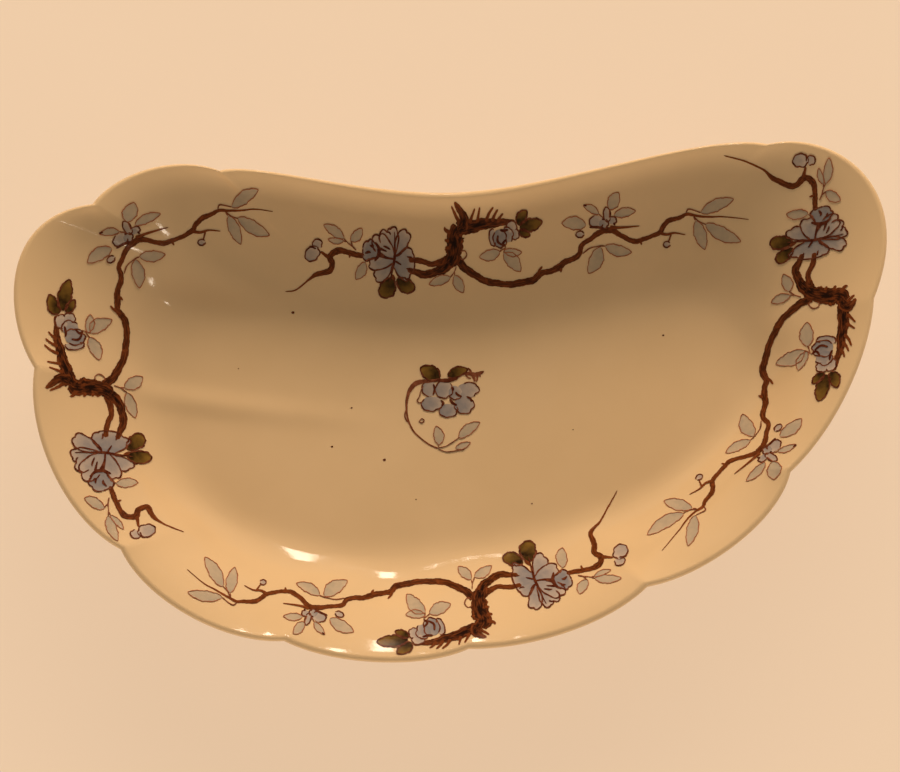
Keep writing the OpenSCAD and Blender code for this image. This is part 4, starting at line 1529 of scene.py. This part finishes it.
@dataclass
class KilnSpecks:
    """Dark specks fired into the glaze, each with its place on the sheet and its half length."""

    form: DishForm
    lift: float = 0.05
    breadth: float = 0.8
    specks: Marks = (
        (-27, 20.7, 0.3), (-18, 1.6, 0.16), (-22.3, -5.3, 0.2), (-13, -8.8, 0.28), (-8, -16.8, 0.13),
        (13, -19.8, 0.14), (40.5, 9.2, 0.22), (22, -6.8, 0.12), (-38, 11.2, 0.12),
    )

    def build(self) -> None:
        """Builds the specks as small uneven discs."""
        film = Film(self.form, "kiln_specks", OUTLINE, self.lift)
        marks = tuple((x, y, size, self.breadth * size, 0, 0, 0, 0.0) for x, y, size in self.specks)
        Pen(self.form, SheetPlace()).petals(film, film, marks, SPECK, first=0.0)
        register(film.build(), Slot.BRANCH)


@dataclass(frozen=True)
class AreaLamp:
    """Rectangular lamp that faces the dish, with its distance and size in metres.

    The azimuth is counted in degrees from +Y towards +X.
    """

    name: str
    azimuth: float
    elevation: float
    distance: float
    size: tuple[float, float]
    watts: float
    colour: Colour
    shine: Shine

    def build(self) -> None:
        """Adds the lamp to the scene."""
        a, e = math.radians(self.azimuth), math.radians(self.elevation)
        way = Vector((math.sin(a) * math.cos(e), math.cos(a) * math.cos(e), math.sin(e)))
        lamp = bpy.data.lights.new(self.name, "AREA")
        lamp.shape = "RECTANGLE"
        lamp.size, lamp.size_y = self.size
        lamp.energy = self.watts
        lamp.color = self.colour
        made = bpy.data.objects.new(self.name, lamp)
        made.visible_glossy = self.shine is Shine.MIRRORED
        made.visible_diffuse = self.shine is Shine.LIGHTS
        made.location = way * self.distance
        made.rotation_euler = way.to_track_quat("Z", "Y").to_euler()
        bpy.context.collection.objects.link(made)


@dataclass
class Studio:
    """Floor, lamps, world and camera."""

    form: DishForm
    floor_half: float = 1500.0
    floor_shown: Colour = (0.93, 0.655, 0.43)
    floor_share: float = 0.76
    camera_azimuth: float = -6.0
    camera_elevation: float = 80.0
    camera_distance: float = 600.0
    aim_height: float = 10.0
    scale_px: float = 5.475
    image: tuple[int, int] = (900, 772)
    aim_px: tuple[float, float] = (450.0, 402.0)
    sensor: float = 36.0
    clip_near: float = 0.01
    world_colour: Colour = (1.0, 0.87, 0.67)
    world_strength: float = 0.29
    warm: Colour = (1.0, 0.85, 0.69)

    def build_floor(self) -> None:
        """Pale floor that the dish stands on."""
        h = self.floor_half
        corners = np.array([[-h, -h, 0], [h, -h, 0], [h, h, 0], [-h, h, 0]], float)
        floor = make_object("pale_floor", corners, [[0, 1, 2, 3]], PALE_FLOOR)
        self.lift_floor(floor.active_material.node_tree)

    def lift_floor(self, tree: bpy.types.NodeTree) -> None:
        """Mixes a share of a flat pale colour into the floor where it is seen or mirrored, for a mild shadow.

        Args:
            tree: nodes and links of the floor's material.
        """
        path, flat = tree.nodes.new("ShaderNodeLightPath"), tree.nodes.new("ShaderNodeEmission")
        seen, share, mix = (tree.nodes.new(f"ShaderNode{kind}") for kind in ("Math", "Math", "MixShader"))
        flat.inputs["Color"].default_value = (*self.floor_shown, 1.0)
        seen.operation = "MAXIMUM"
        tree.links.new(path.outputs["Is Camera Ray"], seen.inputs[0])
        tree.links.new(path.outputs["Is Glossy Ray"], seen.inputs[1])
        share.operation = "MULTIPLY"
        share.inputs[1].default_value = self.floor_share
        tree.links.new(seen.outputs["Value"], share.inputs[0])
        tree.links.new(share.outputs["Value"], mix.inputs["Fac"])
        tree.links.new(tree.nodes["Principled BSDF"].outputs["BSDF"], mix.inputs[1])
        tree.links.new(flat.outputs["Emission"], mix.inputs[2])
        tree.links.new(mix.outputs["Shader"], tree.nodes["Material Output"].inputs["Surface"])

    def build_light(self) -> None:
        """Adds a low window, weak light on the front and its lip, panes for the glaze, and an even world."""
        for lamp in (
            AreaLamp("low_window", 12.0, 25.0, 1.5, (2.0, 0.4), 27.0, self.warm, Shine.LIGHTS),
            AreaLamp("front_fill", 180.0, 12.0, 1.5, (1.2, 0.3), 2.4, self.warm, Shine.LIGHTS),
            AreaLamp("lip_light", 190.0, 2.2, 1.5, (1.6, 0.05), 9.0, self.warm, Shine.LIGHTS),
            AreaLamp("pane_right", 12.4, 38.0, 1.3, (0.05, 0.42), 1.0, self.warm, Shine.MIRRORED),
            AreaLamp("pane_middle", 5.4, 23.7, 1.3, (0.06, 0.21), 0.62, self.warm, Shine.MIRRORED),
            AreaLamp("pane_left", -1.3, 33.0, 1.3, (0.008, 0.16), 0.06, self.warm, Shine.MIRRORED),
            AreaLamp("pane_front", 155.0, 51.0, 1.3, (0.03, 0.04), 0.05, self.warm, Shine.MIRRORED),
        ):
            lamp.build()
        world = bpy.data.worlds.new("even_world")
        world.use_nodes = True
        sky = world.node_tree.nodes["Background"]
        sky.inputs["Color"].default_value = (*self.world_colour, 1.0)
        sky.inputs["Strength"].default_value = self.world_strength
        bpy.context.scene.world = world

    def build_camera(self) -> None:
        """Adds the camera at the photograph's angle, shifted so that its aim lands as in the photograph."""
        a, e = math.radians(self.camera_azimuth), math.radians(self.camera_elevation)
        back = Vector((math.sin(a) * math.cos(e), -math.cos(a) * math.cos(e), math.sin(e)))
        aim = self.form.place((0.0, 0.0))
        lens = bpy.data.cameras.new("photo_camera")
        lens.sensor_fit = "HORIZONTAL"
        lens.sensor_width = self.sensor
        lens.lens = self.scale_px * self.camera_distance / self.image[0] * self.sensor
        lens.shift_x = (self.image[0] / 2 - self.aim_px[0]) / self.image[0]
        lens.shift_y = (self.aim_px[1] - self.image[1] / 2) / self.image[0]
        lens.clip_start = self.clip_near
        made = bpy.data.objects.new("photo_camera", lens)
        made.location = (Vector((aim[0], aim[1], self.aim_height)) + back * self.camera_distance) * MM
        made.rotation_euler = back.to_track_quat("Z", "Y").to_euler()
        bpy.context.collection.objects.link(made)
        bpy.context.scene.camera = made

    def build(self) -> None:
        """Builds the floor, the light and the camera, and sets the plain view."""
        self.build_floor()
        self.build_light()
        self.build_camera()
        bpy.context.scene.view_settings.view_transform = "Standard"


SPRAYS = (
    SprayPlace(
        "back",
        ((-27, 26.5), (-12, 26.5), (3, 26.5), (18, 26.5), (33, 26.5), (48, 26.5), (63, 26.5)),
        ((-22, 26.9), (-23.5, 26.2), (-26, 24.7), (-28, 24.6)),
        stump=9.0, spread=1.0, frill=1.0,
    ),
    SprayPlace(
        "right",
        ((61.9, 38.6), (67, 26.2), (67.5, 13), (62.5, -3), (52.5, -14), (40, -22.5), (30.5, -36)),
        ((63, 34.6), (61.4, 36.2), (58.2, 37.9), (54.3, 39.3)),
        stump=6.8, spread=1.3, frill=0.7,
    ),
    SprayPlace(
        "front",
        ((30, -24.5), (15.5, -31.5), (1.5, -36.5), (-14, -38.5), (-28.5, -33), (-41.5, -29.5), (-53, -23)),
        ((23, -26.6), (25, -24.5), (27, -21.6), (28.8, -19)),
        stump=7.2, spread=1.3, frill=0.6,
    ),
    SprayPlace(
        "left",
        ((-50.3, -18), (-60.3, -7.8), (-62, 8.5), (-63, 24.5), (-52.5, 33.5), (-37, 36), (-24.5, 37)),
        ((-55.5, -16), (-54, -17.3), (-52, -18.4), (-50.3, -19.2)),
        stump=9.2, spread=1.2, frill=1.0,
    ),
)


def dish_form(clearance: float = 0.04) -> DishForm:
    """Form whose length, width and height stay just inside the box of the CAD model."""
    length, width, height = (float(high - low) / MM - clearance for low, high in zip(*CAD_BOX))
    return DishForm(length, width, height)


def main() -> None:
    """Builds the dish, its prints and the studio in order."""
    logging.basicConfig(level=logging.INFO, format="%(message)s")
    form = dish_form()
    register(GlazedBody(form).build(), Slot.GLAZE, "dish_body")
    register(FootRing(form).build(), Slot.BARE_FOOT, "foot_ring")
    for place in SPRAYS:
        FloweringSpray(form, place).build()
    CentreSprig(form).build()
    KilnSpecks(form).build()
    Studio(form).build()


if __name__ == "__main__":
    main()
